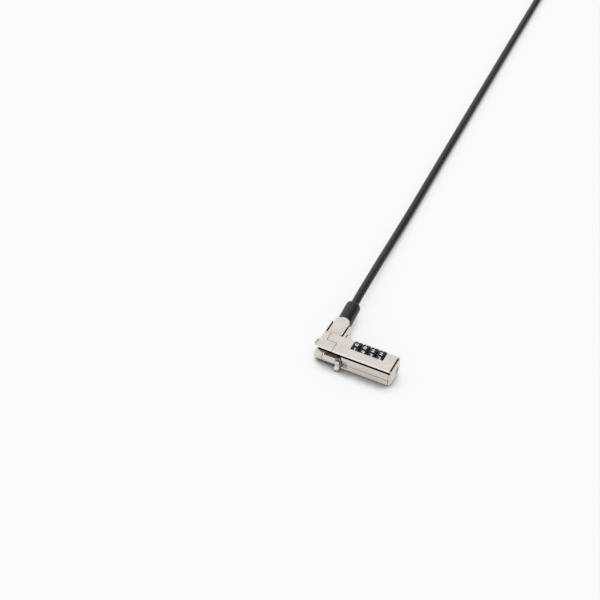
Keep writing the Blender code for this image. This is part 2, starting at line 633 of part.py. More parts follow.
def make_cable_boot(swivel, material):
    """The boot: straight over the ferrule, and rounded down to the cable at its far end."""
    end = BOOT_LENGTH
    profile = [(0.15, 3.05), (0.15, BOOT_RADIUS - 0.3), (0.45, BOOT_RADIUS)]
    for step in range(7):
        angle = math.radians(90.0 * step / 6)
        profile.append((end - BOOT_END_ROUND * (1.0 - math.sin(angle)),
                        BOOT_RADIUS - BOOT_END_DROP * (1.0 - math.cos(angle))))
    profile += [(end, 2.34), (9.2, 2.34), (9.2, 3.05)]
    piece("cable_boot", swivelled(turned("Y", (0.0, 0.0), profile, 28, hollow=True)),
          material, swivel)


# ---------------------------------------------------------------- the cable

def along_swivel(distance):
    """A point on the cable's own axis, behind the swivel point."""
    return Vector((SWIVEL_POINT.x - distance * math.sin(SWIVEL_TURN),
                   SWIVEL_POINT.y + distance * math.cos(SWIVEL_TURN), SWIVEL_POINT.z))


def run_route():
    """The cable's route from the ferrule to the coil, as hand-chosen points on its axis."""
    straight = [along_swivel(distance) for distance in (CABLE_START, 7.0, 13.0, 19.0, 25.0)]
    lying = [(2.62, 54.0, 5.45), (1.93, 66.0, 4.75), (1.1, 80.0, 3.85), (0.32, 96.0, 2.95),
             (-0.46, 114.0, 2.4), (-1.25, 134.0, FLOOR_AXIS_Z), (-2.72, 168.0, FLOOR_AXIS_Z),
             (-4.27, 204.0, FLOOR_AXIS_Z), (-5.8, 240.0, FLOOR_AXIS_Z), (-7.3, 276.0, FLOOR_AXIS_Z),
             (-8.75, 310.0, FLOOR_AXIS_Z), (-9.9, 340.0, FLOOR_AXIS_Z), (-10.95, 366.0, FLOOR_AXIS_Z),
             (-11.45, 381.0, FLOOR_AXIS_Z), (-11.8, 396.0, FLOOR_AXIS_Z),
             (-12.02, 409.0, FLOOR_AXIS_Z), (-12.15, 419.5, FLOOR_AXIS_Z)]
    return straight + [Vector(point) for point in lying]


def smooth_points(route, spacing):
    """Reads even points from a Catmull-Rom curve through the route."""
    padded = [route[0] * 2 - route[1]] + route + [route[-1] * 2 - route[-2]]
    fine = []
    for a, b, c, d in zip(padded, padded[1:], padded[2:], padded[3:]):
        for step in range(12):
            t = step / 12.0
            fine.append(0.5 * (2 * b + (c - a) * t + (2 * a - 5 * b + 4 * c - d) * t * t
                               + (3 * b - a - 3 * c + d) * t ** 3))
    fine.append(route[-1].copy())
    lengths = [0.0]
    for first, second in zip(fine, fine[1:]):
        lengths.append(lengths[-1] + (second - first).length)
    count = max(2, round(lengths[-1] / spacing))
    points = []
    index = 0
    for step in range(count + 1):
        target = lengths[-1] * step / count
        while index < len(fine) - 2 and lengths[index + 1] < target:
            index += 1
        share = (target - lengths[index]) / (lengths[index + 1] - lengths[index])
        points.append(fine[index].lerp(fine[index + 1], min(share, 1.0)))
    return points


def cord_tube(name, points, material, body):
    """A round cord along points, as a curve with a bevel and filled ends."""
    pivot = Vector(body["pivot"])
    curve = bpy.data.curves.new(name, "CURVE")
    curve.dimensions = "3D"
    curve.bevel_depth = CABLE_RADIUS * MM
    curve.bevel_resolution = 2
    curve.use_fill_caps = True
    spline = curve.splines.new("POLY")
    spline.points.add(len(points) - 1)
    for target, point in zip(spline.points, points):
        target.co = (*((point - pivot) * MM), 1.0)
    item = bpy.data.objects.new(name, curve)
    item.parent = body
    item.data.materials.append(material)
    bpy.context.scene.collection.objects.link(item)


def loop_point(turn):
    """A point on the anchor loop, where turn runs from 0 at its start to 1 after a full turn."""
    angle = LOOP_START - 2.0 * math.pi * turn
    radius = LOOP_START_RADIUS + LOOP_TURN_PITCH * turn
    return Vector((COIL_CENTRE[0] + radius * math.cos(angle),
                   COIL_CENTRE[1] + radius * math.sin(angle), LOOP_Z))


def make_cable(swivel, material):
    cord_tube("cable_run", smooth_points(run_route(), CABLE_SPACING), material, swivel)
    low = COIL_RADIUS - COIL_HALF_WIDTH
    high = COIL_RADIUS + COIL_HALF_WIDTH
    ring = [(0.0, low + 1.2), (0.0, high - 1.2), (1.2, high), (COIL_HEIGHT - 1.2, high),
            (COIL_HEIGHT, high - 1.2), (COIL_HEIGHT, low + 1.2), (COIL_HEIGHT - 1.2, low),
            (1.2, low)]
    piece("cable_coil", turned("Z", COIL_CENTRE, ring, 40, hollow=True), material, swivel)
    free = SLEEVE_HALF_ANGLE / (2.0 * math.pi) + 0.004
    steps = 30
    points = [loop_point(free + (1.0 - 2.0 * free) * step / steps) for step in range(steps + 1)]
    cord_tube("anchor_loop", points, material, swivel)


def make_loop_sleeve(swivel, material):
    """The flat-sided crimp sleeve, bent to the loop, around the loop's start and end."""
    middle_radius = LOOP_START_RADIUS + LOOP_TURN_PITCH / 2.0
    half_width = LOOP_TURN_PITCH / 2.0 + CABLE_RADIUS + 0.75
    half_height = CABLE_RADIUS + 0.35
    corner = 1.3
    section = []
    for centre_u, centre_v, start in ((1, 1, 0.0), (-1, 1, 90.0), (-1, -1, 180.0), (1, -1, 270.0)):
        centre = (centre_u * (half_width - corner), centre_v * (half_height - corner))
        section += arc(centre, corner, start, start + 90.0, 3)
    rings = []
    steps = 8
    for step in range(steps + 1):
        angle = LOOP_START + SLEEVE_HALF_ANGLE * (2.0 * step / steps - 1.0)
        squeeze = 0.94 if step in (2, 3, 5, 6) else 1.0
        ring = []
        for u, v in section:
            radius = middle_radius + u
            ring.append(Vector((COIL_CENTRE[0] + radius * math.cos(angle),
                                COIL_CENTRE[1] + radius * math.sin(angle),
                                LOOP_Z + 0.4 + v * squeeze)))
        rings.append(ring)
    piece("loop_sleeve", skin(bmesh.new(), rings), material, swivel)


# ---------------------------------------------------------------- assembly

def main():
    remove_everything()
    nickel = make_material("satin_nickel", (0.74, 0.71, 0.66), 0.32, 1.0)
    steel = make_material("hard_steel", (0.55, 0.55, 0.56), 0.35, 1.0)
    spring_steel = make_material("spring_steel", (0.45, 0.45, 0.47), 0.3, 1.0)
    brass = make_material("brass", (0.72, 0.55, 0.27), 0.35, 1.0)
    black_plastic = make_material("black_plastic", (0.02, 0.02, 0.022), 0.4, 0.0)
    black_rubber = make_material("black_rubber", (0.025, 0.025, 0.025), 0.65, 0.0)
    cable_black = make_material("cable_sheath", (0.03, 0.03, 0.03), 0.5, 0.0)

    head = add_body("head", (HEAD_LENGTH / 2, HEAD_DEPTH / 2, 0.0))
    bolt = add_body("bolt", (BARREL_END_X, *BARREL_YZ))
    reset = add_body("reset", (CAP_X, *RESET_YZ))
    yoke = add_body("yoke", ((YOKE_X[0] + YOKE_X[1]) / 2, *PIVOT_YZ))
    swivel = add_body("swivel", SWIVEL_POINT)
    dials = [add_body("dial_axis_%d" % (i + 1), (dial_x(i), *DIAL_YZ)) for i in range(DIAL_COUNT)]

    cutters = make_cutters(head)
    nose_bore = make_lower_case(head, cutters, nickel)
    make_main_body(head, cutters, nickel)
    make_top_cover(head, cutters, nickel)
    make_nose_block(head, cutters, nose_bore, nickel)
    make_nose_hook(head, steel)
    make_steady_foot(head, nickel)
    make_end_cap(head, cutters, nickel)

    make_release_slide(bolt, nickel)
    make_bolt_carrier(bolt, steel)
    make_locking_blade(bolt, steel)
    make_code_spindle(bolt, brass)
    make_spindle_clip(bolt, spring_steel)
    make_return_spring(head, spring_steel)

    for index, body in enumerate(dials):
        make_dial(index, body, black_plastic)
        make_code_sleeve(index, body, brass)
    make_detent_comb(head, spring_steel)
    make_screws(head, reset, steel)

    make_yoke_pin(head, steel)
    make_cable_yoke(yoke, nickel)
    make_cable_ferrule(swivel, steel)
    make_cable_boot(swivel, black_rubber)
    make_cable(swivel, cable_black)
    make_loop_sleeve(swivel, nickel)


main()
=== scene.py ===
# %% [markdown]
# # A laptop cable lock
#
# This scene dresses the packed model of a slim combination lock: a plated metal head with four
# number dials, a tongue that folds, and a black steel cable that ends in an anchor loop.
# The packed model is a fixed frame, so nothing here moves its parts. The script gives them their
# finishes, and it builds finer pieces where the packed solids are plain: the cable, the dials
# and their numbers, the boot and the return spring.

# %% Load the packed parts
import json
import math

import bmesh
import bpy
from mathutils import Matrix, Vector


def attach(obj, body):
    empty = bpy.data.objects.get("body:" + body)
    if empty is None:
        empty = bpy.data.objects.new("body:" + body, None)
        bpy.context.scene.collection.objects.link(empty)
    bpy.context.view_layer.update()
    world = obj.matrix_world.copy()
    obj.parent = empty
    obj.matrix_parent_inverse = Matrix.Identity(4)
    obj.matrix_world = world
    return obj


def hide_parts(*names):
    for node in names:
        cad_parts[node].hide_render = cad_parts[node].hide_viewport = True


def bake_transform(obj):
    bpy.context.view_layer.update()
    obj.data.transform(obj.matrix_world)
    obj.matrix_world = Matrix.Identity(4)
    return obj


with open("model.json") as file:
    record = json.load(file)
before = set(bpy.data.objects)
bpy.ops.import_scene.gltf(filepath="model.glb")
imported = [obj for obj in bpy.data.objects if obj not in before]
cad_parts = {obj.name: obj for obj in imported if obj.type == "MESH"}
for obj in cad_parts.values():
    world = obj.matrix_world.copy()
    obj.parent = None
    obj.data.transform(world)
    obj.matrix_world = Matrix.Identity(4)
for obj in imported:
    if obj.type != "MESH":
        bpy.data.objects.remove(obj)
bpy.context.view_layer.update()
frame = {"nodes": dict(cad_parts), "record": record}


def rounded(points):
    """Points with their numbers rounded to a tenth of a millimetre, for printing."""
    return [[round(value, 4) for value in point] for point in points]


# %% [markdown]
# ## Places on the drawing
# The lock was drawn in millimetres, from the corner where the planes of its nose, its front and
# its underside meet. `place` turns such a drawing point into a point of the scene, in metres.
# `along_swivel` does the same for a point near the axis that the cable turns about.
# The values repeat the ones the parts were made from, so the new pieces fit them.

# %% Turn drawing points into scene points
MM = 0.001
HEAD_MIDDLE = (21.5, 5.75)
SWIVEL_POINT = (4.8, 20.9, 5.7)
SWIVEL_TURN = math.radians(3.9)


def place(x, y, z):
    """A point of the drawing, in the scene."""
    return Vector(((x - HEAD_MIDDLE[0]) * MM, (y - HEAD_MIDDLE[1]) * MM, z * MM))


def along_swivel(s, side=0.0, up=0.0):
    """A point s millimetres along the swivel's axis, and to its side or above it."""
    x, y, z = SWIVEL_POINT
    sin, cos = math.sin(SWIVEL_TURN), math.cos(SWIVEL_TURN)
    return place(x - s * sin + side * cos, y + s * cos + side * sin, z + up)


print("the swivel is at:", rounded([along_swivel(0.0)])[0])

# %% [markdown]
# ## The camera
# The photograph was taken from above the front right, with a long lens. Fitting the lock's own
# corners to their places in the picture gives the camera's place, its aim and a small roll.
# The aim is written as an azimuth and an elevation, because those are easy to picture.

# %% Camera
CAMERA_PLACE = (0.1863, -0.42935, 0.5198)
AZIMUTH = math.radians(27.08)
ELEVATION = math.radians(45.249)
ROLL = math.radians(-0.284)
FOCAL_PIXELS = 1343.07
IMAGE_PIXELS = 600.0
SENSOR = 36.0
NEAREST_SEEN = 0.01

back = Vector((math.sin(AZIMUTH) * math.cos(ELEVATION),
               -math.cos(AZIMUTH) * math.cos(ELEVATION), math.sin(ELEVATION)))
level = (-back).cross(Vector((0, 0, 1))).normalized()
upright = level.cross(-back)
right = level * math.cos(ROLL) + upright * math.sin(ROLL)
top = upright * math.cos(ROLL) - level * math.sin(ROLL)
camera = bpy.data.objects.new("camera", bpy.data.cameras.new("camera"))
camera.data.sensor_width = SENSOR
camera.data.lens = FOCAL_PIXELS / IMAGE_PIXELS * SENSOR
camera.data.clip_start = NEAREST_SEEN
camera.matrix_world = Matrix.Translation(CAMERA_PLACE) @ Matrix(
    (right, top, back)).transposed().to_4x4()
bpy.context.scene.collection.objects.link(camera)
bpy.context.scene.camera = camera
bpy.context.scene.view_settings.view_transform = "Standard"
print("lens:", round(camera.data.lens, 2), "mm")

# %% [markdown]
# ## Writing shader maths as plain expressions
# Every finish here is made from nodes, with no pictures. Setting up Math nodes one by one is
# hard to read, so a small class wraps a socket: `a * b + 1` on two of them adds the nodes.
# Any other node comes from `add_node`, with its settings first and then its sockets.

# %% A socket that takes arithmetic
class Signal:
    """A socket whose value runs through a shader. Arithmetic on it adds Math nodes."""

    def __init__(self, socket):
        self.socket = socket
        self.tree = socket.id_data

    def maths(self, operation, *values):
        return add_node(self.tree, "ShaderNodeMath", {"operation": operation},
                        dict(enumerate(values)))

    def __add__(self, other):
        return self.maths("ADD", self, other)

    def __sub__(self, other):
        return self.maths("SUBTRACT", self, other)

    def __rsub__(self, other):
        return self.maths("SUBTRACT", other, self)

    def __mul__(self, other):
        return self.maths("MULTIPLY", self, other)

    def __pow__(self, other):
        return self.maths("POWER", self, other)

    __radd__ = __add__
    __rmul__ = __mul__

    def cosine(self):
        return self.maths("COSINE", self)

    def either(self, other):
        """The larger of two masks, which is 1 where any of them is."""
        return self.maths("MAXIMUM", self, other)

    def ramp(self, low, high):
        """0 below low, 1 above high, and smooth between them."""
        return add_node(self.tree, "ShaderNodeMapRange", {"interpolation_type": "SMOOTHSTEP"},
                        {"Value": self, "From Min": low, "From Max": high})

    def part(self, axis):
        """One of the three numbers of a vector."""
        return add_node(self.tree, "ShaderNodeSeparateXYZ", {}, {"Vector": self}, axis)


def add_node(tree, kind, settings=None, sockets=None, output=0):
    """Add a node, set it up, and give back one of its outputs, if it has any."""
    node = tree.nodes.new(kind)
    for name, value in (settings or {}).items():
        setattr(node, name, value)
    for name, value in (sockets or {}).items():
        if isinstance(value, Signal):
            tree.links.new(value.socket, node.inputs[name])
        else:
            node.inputs[name].default_value = value
    return Signal(node.outputs[output]) if node.outputs else None


print("a socket can be used with:", [name for name in vars(Signal) if name[0] != "_"])

# %% [markdown]
# ## Colours, places and grain
# Colours are mixed by a Mix node, because a Math node would turn them grey. Grain and stains come
# from noise, whose blobs are given a real size in metres, so that every part has the same grain.
# A bump turns such a value into small dents in the light, which needs no more faces.

# %% Nodes that the finishes share
def grey(brightness):
    """A colour without a tint."""
    return (brightness, brightness, brightness)


def shade(tint, share):
    """A tint made darker, or lighter where share is above 1."""
    return tuple(c * share for c in tint)


def mix_colours(factor, first, second):
    """Run from the first colour to the second. A plain colour is three numbers."""
    first, second = (c if isinstance(c, Signal) else (*c, 1.0) for c in (first, second))
    return add_node(factor.tree, "ShaderNodeMix", {"data_type": "RGBA"},
                    {0: factor, 6: first, 7: second}, 2)


def position(tree):
    """Where a point is on the piece. The packed parts share the scene's own axes, in metres."""
    return add_node(tree, "ShaderNodeTexCoord", output="Object")


def stretch(vector, x, y, z):
    """Scale a vector along its axes, for streaks and grain."""
    return add_node(vector.tree, "ShaderNodeVectorMath", {"operation": "MULTIPLY"},
                    {0: vector, 1: (x, y, z)})


def noise(vector, size, detail, roughness=0.5):
    """Soft random values about 0.5, whose blobs are about size metres across."""
    return add_node(vector.tree, "ShaderNodeTexNoise", {"normalize": True},
                    {"Vector": vector, "Scale": 1.0 / size, "Detail": detail,
                     "Roughness": roughness})


def bumps(height, depth, strength):
    """Normals for a height from 0 to 1 that stands depth metres proud."""
    return add_node(height.tree, "ShaderNodeBump", {},
                    {"Height": height, "Distance": depth, "Strength": strength})


def openness(tree, reach, samples=4, facing=None):
    """1 in the open, and towards 0 in a narrow gap or corner of about reach metres. It looks
    out along the surface's normal, or towards facing where that is given."""
    sockets = {"Distance": reach}
    if facing:
        sockets["Normal"] = add_node(tree, "ShaderNodeCombineXYZ", {}, dict(enumerate(facing)))
    return add_node(tree, "ShaderNodeAmbientOcclusion", {"samples": samples}, sockets, "AO")


print("half of a mid grey:", shade(grey(0.5), 0.5))

# %% [markdown]
# ## Opening and closing a finish
# Every finish starts from an empty node tree and ends in one Principled shader. Only the sockets
# in between differ, so these two steps are written once. The studio's world, further down,
# starts in the same way.

# %% Start and finish a material
def empty_tree(owner):
    """The node tree of a material or of the world, with nothing in it."""
    owner.use_nodes = True
    owner.node_tree.nodes.clear()
    return owner.node_tree


def start_material(name):
    """A new material and its empty node tree."""
    material = bpy.data.materials.new(name)
    return material, empty_tree(material)


def finish_material(material, sockets):
    """Close a material with a Principled shader whose sockets are given."""
    tree = material.node_tree
    shader = add_node(tree, "ShaderNodeBsdfPrincipled", {}, sockets, "BSDF")
    add_node(tree, "ShaderNodeOutputMaterial", {}, {"Surface": shader})
    return material


print("finishes so far:", len(bpy.data.materials))

# %% [markdown]
# ## The cable's route
# The real cable is twisted steel wire in a thin black sheath, 4.4 mm thick and 1.8 m long. It is
# stiff, so it leaves the boot straight, comes down to the table over about 10 cm, and runs
# away in a very slight curve. The photograph shows only that first stretch. The rest is put
# away in three flat layers of a coil, and the cable's own anchor loop is the last turn on top.
# The free stretch goes through listed points, and the coil's turns are worked out.

# %% Points and turns of the route, in millimetres
CABLE_RADIUS = 2.2
STRAIGHT_PLACES = (1.1, 7.0, 13.0, 19.0, 25.0)
RUN_POINTS = [(2.62, 54.0, 5.45), (1.93, 66.0, 4.75), (1.1, 80.0, 3.85), (0.32, 96.0, 2.95),
              (-0.46, 114.0, 2.4), (-1.25, 134.0, 2.25), (-2.72, 168.0, 2.25),
              (-4.27, 204.0, 2.25), (-5.8, 240.0, 2.25), (-7.3, 276.0, 2.25),
              (-8.75, 310.0, 2.25), (-9.9, 340.0, 2.25), (-10.95, 366.0, 2.25),
              (-11.45, 381.0, 2.25), (-11.8, 396.0, 2.25), (-12.02, 409.0, 2.25),
              (-12.15, 419.5, 2.25)]
ROUTE_STEP = 2.0
TURN_STEP = math.radians(5.0)
COIL_CENTRE = (18.0, 438.0)
COIL_ENTRY = math.radians(182.0)
OUTER_TURN = 30.5
INNER_TURN = 19.65
LAYER_SWEEP = math.radians(887.0)
LAYER_RISE = math.radians(50.0)
LAYER_Z = (2.25, 6.65, 11.05)
LOOP_Z = 15.9
LOOP_START_RADIUS = 20.4
LOOP_PITCH = 4.7
SLEEVE_HALF_ANGLE = math.radians(19.0)
LEAD_SHARE_OF_SLEEVE = 1.2
END_SHARE_OF_SLEEVE = 0.96
LOOP_START = math.radians(-140.0)
LOOP_LEAD = LOOP_START + SLEEVE_HALF_ANGLE * LEAD_SHARE_OF_SLEEVE
LOOP_END = LOOP_START - math.tau - SLEEVE_HALF_ANGLE * END_SHARE_OF_SLEEVE
print("hand-set points:", len(STRAIGHT_PLACES) + len(RUN_POINTS), "coil layers:", len(LAYER_Z))

# %% [markdown]
# ## Smooth runs and flat turns
# A stiff cable never bends sharply, so the free stretch is read from a curve that passes through
# every listed point. A turn of the coil is a spiral: its angle and radius change evenly, and its
# height eases from one layer to the next, because a cable climbs over itself gently.

# %% Curves for the route
def smooth_run(points, step):
    """A smooth curve that passes through every point, sampled about every step."""
    ends = [points[0] * 2 - points[1], *points, points[-1] * 2 - points[-2]]
    fine = []
    for a, b, c, d in zip(ends, ends[1:], ends[2:], ends[3:]):
        count = max(1, round((c - b).length / step))
        for k in range(count):
            t = k / count
            fine.append(0.5 * (2 * b + (c - a) * t + (2 * a - 5 * b + 4 * c - d) * t ** 2
                               + (3 * b - a - 3 * c + d) * t ** 3))
    return [*fine, points[-1]]


def ease(t):
    """From 0 to 1, starting and ending level."""
    return t * t * (3 - 2 * t)


def on_coil(angle, radius, height):
    """A point at an angle and a radius about the coil's centre."""
    return place(COIL_CENTRE[0] + radius * math.cos(angle),
                 COIL_CENTRE[1] + radius * math.sin(angle), height)


def turns(start, sweep, radii, heights):
    """Part of a clockwise spiral round the coil's centre, from a start angle through a sweep."""
    count = max(2, math.ceil(sweep / TURN_STEP))
    found = []
    for k in range(1, count + 1):
        t = k / count
        found.append(on_coil(start - sweep * t, radii[0] + (radii[1] - radii[0]) * t,
                             heights[0] + (heights[1] - heights[0]) * ease(t)))
    return found


def loop_radius(angle):
    """The anchor loop is a spiral too, which grows by its pitch in a full turn."""
    return LOOP_START_RADIUS + LOOP_PITCH * (LOOP_START - angle) / math.tau


print("halfway up a rise:", ease(0.5))

# %% [markdown]
# ## Laying the cable
# Each layer of the coil runs inwards or outwards, by turns, and the cable then rises to the next
# one. At the top it rises once more and goes round as the anchor loop, whose two ends lie side
# by side in the crimp sleeve.

# %% Lay the cable
def coil_line():
    """The coil's layers from the bottom up, and the anchor loop on top of them."""
    line = []
    angle, radius = COIL_ENTRY, OUTER_TURN
    for layer, height in enumerate(LAYER_Z):
        far = INNER_TURN if radius == OUTER_TURN else OUTER_TURN
        line += turns(angle, LAYER_SWEEP, (radius, far), (height, height))
        angle -= LAYER_SWEEP
        radius = far
        if height != LAYER_Z[-1]:
            line += turns(angle, LAYER_RISE, (radius, radius), (height, LAYER_Z[layer + 1]))
            angle -= LAYER_RISE
    rise = (angle - LOOP_LEAD) % math.tau
    line += turns(angle, rise, (radius, loop_radius(LOOP_LEAD)), (LAYER_Z[-1], LOOP_Z))
    line += turns(LOOP_LEAD, LOOP_LEAD - LOOP_END,
                  (loop_radius(LOOP_LEAD), loop_radius(LOOP_END)), (LOOP_Z, LOOP_Z))
    print("the cable rises to its loop over", round(math.degrees(rise)), "degrees")
    return line


def distances(points):
    """How far along the line each of its points lies."""
    found = [0.0]
    for a, b in zip(points, points[1:]):
        found.append(found[-1] + (b - a).length)
    return found


run = [along_swivel(s) for s in STRAIGHT_PLACES] + [place(*point) for point in RUN_POINTS]
run.append(on_coil(COIL_ENTRY, OUTER_TURN, LAYER_Z[0]))
route = smooth_run(run, ROUTE_STEP * MM) + coil_line()
print("cable points:", len(route), "length:", round(distances(route)[-1], 3), "m")

# %% [markdown]
# ## The cable's surface
# A tube swept along the route carries two numbers in a UV map: how far along the cable a point
# is, and how far round it. The sheath's texture is drawn from those two, so the lay of the
# strands winds round the cable like the thread of a rope, however the cable bends. The tube is
# built from rings, one at each point, because that gives the UV map real lengths.

# %% Rings, and the faces between them
def ring_angles(count):
    """Evenly spaced angles round a full turn."""
    return [math.tau * k / count for k in range(count)]


def skin(bm, rings):
    """Join each ring of points to the next one with smooth four-sided faces."""
    faces = []
    for low, high in zip(rings, rings[1:]):
        for k in range(len(low)):
            e = (k + 1) % len(low)
            faces.append(bm.faces.new((low[k], low[e], high[e], high[k])))
            faces[-1].smooth = True
    return faces


def add_piece(name, bm):
    """Turn finished edit data into a piece of the scene."""
    mesh = bpy.data.meshes.new(name)
    bm.to_mesh(mesh)
    bm.free()
    piece = bpy.data.objects.new(name, mesh)
    bpy.context.scene.collection.objects.link(piece)
    return piece


def carried_frames(points):
    """Two side directions at each point, carried along without twisting."""
    side = Vector((1, 0, 0))
    found = []
    for before, after in zip([points[0], *points], [*points[1:], points[-1]]):
        ahead = (after - before).normalized()
        side = (side - ahead * side.dot(ahead)).normalized()
        found.append((side, ahead.cross(side)))
    return found


print("a ring of four:", rounded([ring_angles(4)])[0])

# %% [markdown]
# ## Sweeping the tube
# A cut end of sheath or wire is never quite square, so the ring at each end of the tube is a
# little smaller, which gives the edge a soft line of light. The cable takes the place of three
# plain packed solids, and it turns with the swivel.

# %% Sweep a tube along the route
CABLE_SIDES = 24
CABLE_END_ROUNDING = 0.1


def sweep_tube(name, points, radius, sides, end_rounding):
    """A closed tube along the points, with a UV map of distance along and turn round."""
    bm = bmesh.new()
    uv = bm.loops.layers.uv.new("route")
    distance = distances(points)
    rings = []
    for k, (point, (side, up)) in enumerate(zip(points, carried_frames(points))):
        here = radius * (1 - end_rounding) if k in (0, len(points) - 1) else radius
        rings.append([bm.verts.new(point + (side * math.cos(a) + up * math.sin(a)) * here)
                      for a in ring_angles(sides)])
    for number, face in enumerate(skin(bm, rings)):
        k, s = divmod(number, sides)
        corners = ((k, s), (k, s + 1), (k + 1, s + 1), (k + 1, s))
        for loop, (station, turn) in zip(face.loops, corners):
            loop[uv].uv = (distance[station], turn / sides)
    bm.faces.new(reversed(rings[0]))
    bm.faces.new(rings[-1])
    return add_piece(name, bm)


steel_cable = sweep_tube("steel_cable", route, CABLE_RADIUS * MM, CABLE_SIDES,
                         CABLE_END_ROUNDING)
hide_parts("cable_run", "cable_coil", "anchor_loop")
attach(steel_cable, "swivel")
print("cable faces:", len(steel_cable.data.polygons))

# %% [markdown]
# ## The sheath's finish
# The sheath is thin, so the twisted strands show through it as slanting ridges with a soft
# shine, over the black. Each ridge is a cosine of the two UV numbers added together. A fine grain
# breaks the shine up, as on extruded plastic.

# %% Cable sheath
STRANDS = 7.0
LAY_LENGTH = 0.030
RIDGE_DEPTH = 0.00012
RIDGE_SHARE = 0.75
SHEATH_GRAIN = 0.0003
SCUFF_SIZE = 0.012
SHEATH_BLACK = (0.010, 0.010, 0.010)
SCUFFED_BLACK = (0.020, 0.019, 0.019)
SHEATH_ROUGHNESS = 0.34


def cable_sheath():
    """Black sheath with the lay of the strands showing through."""
    material, tree = start_material("cable_sheath")
    route_uv = add_node(tree, "ShaderNodeUVMap", {"uv_map": "route"})
    along, turn = route_uv.part(0), route_uv.part(1)
    phase = (turn + along * (1.0 / LAY_LENGTH)) * (math.tau * STRANDS)
    ridge = phase.cosine() * 0.5 + 0.5
    spot = position(tree)
    grain = noise(spot, SHEATH_GRAIN, 3.0)
    scuff = noise(spot, SCUFF_SIZE, 3.0).ramp(0.5, 0.75)
    return finish_material(material, {
        "Base Color": mix_colours(scuff, SHEATH_BLACK, SCUFFED_BLACK),
        "Roughness": SHEATH_ROUGHNESS + 0.10 * grain + 0.06 * scuff,
        "Normal": bumps(ridge * RIDGE_SHARE + grain * (1 - RIDGE_SHARE), RIDGE_DEPTH, 0.8),
    })


steel_cable.data.materials.append(cable_sheath())
print("cable finish:", steel_cable.data.materials[0].name)

# %% [markdown]
# ## Metal finishes
# The head's castings are plated with satin nickel. Plating over a bead-blasted casting has a warm
# white colour, a soft shine and a very fine grain, and its tone drifts a little over the part.
# Metals take their look from what they mirror, so roughness and grain matter most. The colour is
# built up from the largest blobs to the smallest, as the eye finds them.

# %% Colour of the plating
NICKEL = (0.735, 0.70, 0.645)
DRIFT_SIZE = 0.009
SPECK_SIZE = 0.00052
SPECK_STRETCH = (1.0, 1.0, 1.03)
LIGHT_DRIFT = 1.05
DARK_DRIFT = 0.92
DARK_CLOUD = 0.84
DARK_SPECK = 0.82
LIGHT_SPECK = 1.13
GRAIN_SHARE = 0.6


def nickel_colour(spot, cloud):
    """Warm white that drifts over the part, with fine clouds, and dark and light specks."""
    drift = noise(spot, DRIFT_SIZE, 2.0)
    speck = noise(stretch(spot, *SPECK_STRETCH), SPECK_SIZE, 1.0)
    plate = mix_colours(drift.ramp(0.35, 0.7), shade(NICKEL, LIGHT_DRIFT),
                        shade(NICKEL, DARK_DRIFT))
    for mask, tone in ((cloud.ramp(0.36, 0.70), DARK_CLOUD), (speck.ramp(0.55, 0.75), DARK_SPECK),
                       ((1 - speck).ramp(0.56, 0.76), LIGHT_SPECK)):
        plate = mix_colours(mask * GRAIN_SHARE, plate, shade(NICKEL, tone))
    return plate


print("dark and light specks:", rounded([shade(NICKEL, DARK_SPECK), shade(NICKEL, LIGHT_SPECK)]))

# %% [markdown]
# ## Satin nickel
# Shade is painted into the gaps between castings, where the openness of a point finds them. Two
# kinds of face differ from the rest: deep faces that are painted black with shade, and edges that
# get a painted highlight. Each casting passes in its own masks for those, so one function makes
# all the nickel finishes. Black faces are fully rough, because even a black mirror shines at a
# slant.

# %% Satin nickel
# Colours of the painted highlight on edges, of the painted shade in gaps, and of the black
# painted shade deep in them.
HIGHLIGHT_NICKEL = (0.92, 0.90, 0.87)
GAP_SHADE = (0.030, 0.026, 0.023)
SHADE_BLACK = grey(0.002)
NICKEL_ROUGHNESS = 0.34
HIGHLIGHT_SMOOTHER = 0.16
BLAST_SIZE = 0.00022
BLAST_DEPTH = 0.000015
BLAST_SWING = 0.09
CLOUD_SIZE = 0.0005
CLOUD_SWING = 0.10
NICKEL_GAP_REACH = 0.0011
NICKEL_GAP_EDGES = (0.18, 0.72)


def drawing_axes(tree):
    """Where a point is on the drawing: x, y and z in millimetres."""
    spot = position(tree)
    x, y, z = (spot.part(k) * (1.0 / MM) for k in range(3))
    return x + HEAD_MIDDLE[0], y + HEAD_MIDDLE[1], z


def satin_nickel(name, in_shade=None, highlighted=None):
    """Warm satin plate over a finely blasted casting, with painted shade in its gaps. Two
    optional functions of the drawing axes are 1 on the faces painted black with shade and on the
    edges with a painted highlight."""
    material, tree = start_material(name)
    spot = position(tree)
    blast = noise(spot, BLAST_SIZE, 2.0, 0.6)
    cloud = noise(spot, CLOUD_SIZE, 4.0, 0.72)
    plate = nickel_colour(spot, cloud)
    rough = NICKEL_ROUGHNESS + BLAST_SWING * (blast - 0.5) + CLOUD_SWING * (cloud - 0.5)
    # Painted highlight: a lighter, smoother line along the given edges.
    if highlighted:
        edge = highlighted(*drawing_axes(tree))
        plate = mix_colours(edge, plate, HIGHLIGHT_NICKEL)
        rough = rough - edge * HIGHLIGHT_SMOOTHER
    # Painted shade: darker in narrow gaps and corners, where openness is low.
    open_share = openness(tree, NICKEL_GAP_REACH).ramp(*NICKEL_GAP_EDGES)
    plate = mix_colours(open_share, GAP_SHADE, plate)
    # Painted shade: faces deep in gaps and recesses are painted black.
    if in_shade:
        black = in_shade(*drawing_axes(tree))
        plate = mix_colours(black, plate, SHADE_BLACK)
        rough = rough + black * (1 - rough)
    return finish_material(material, {
        "Base Color": plate,
        "Metallic": 1.0,
        "Roughness": rough,
        "Normal": bumps(blast, BLAST_DEPTH, 0.6),
    })


finishes = {"satin_nickel": satin_nickel("satin_nickel")}
print("plain plate:", finishes["satin_nickel"].name)
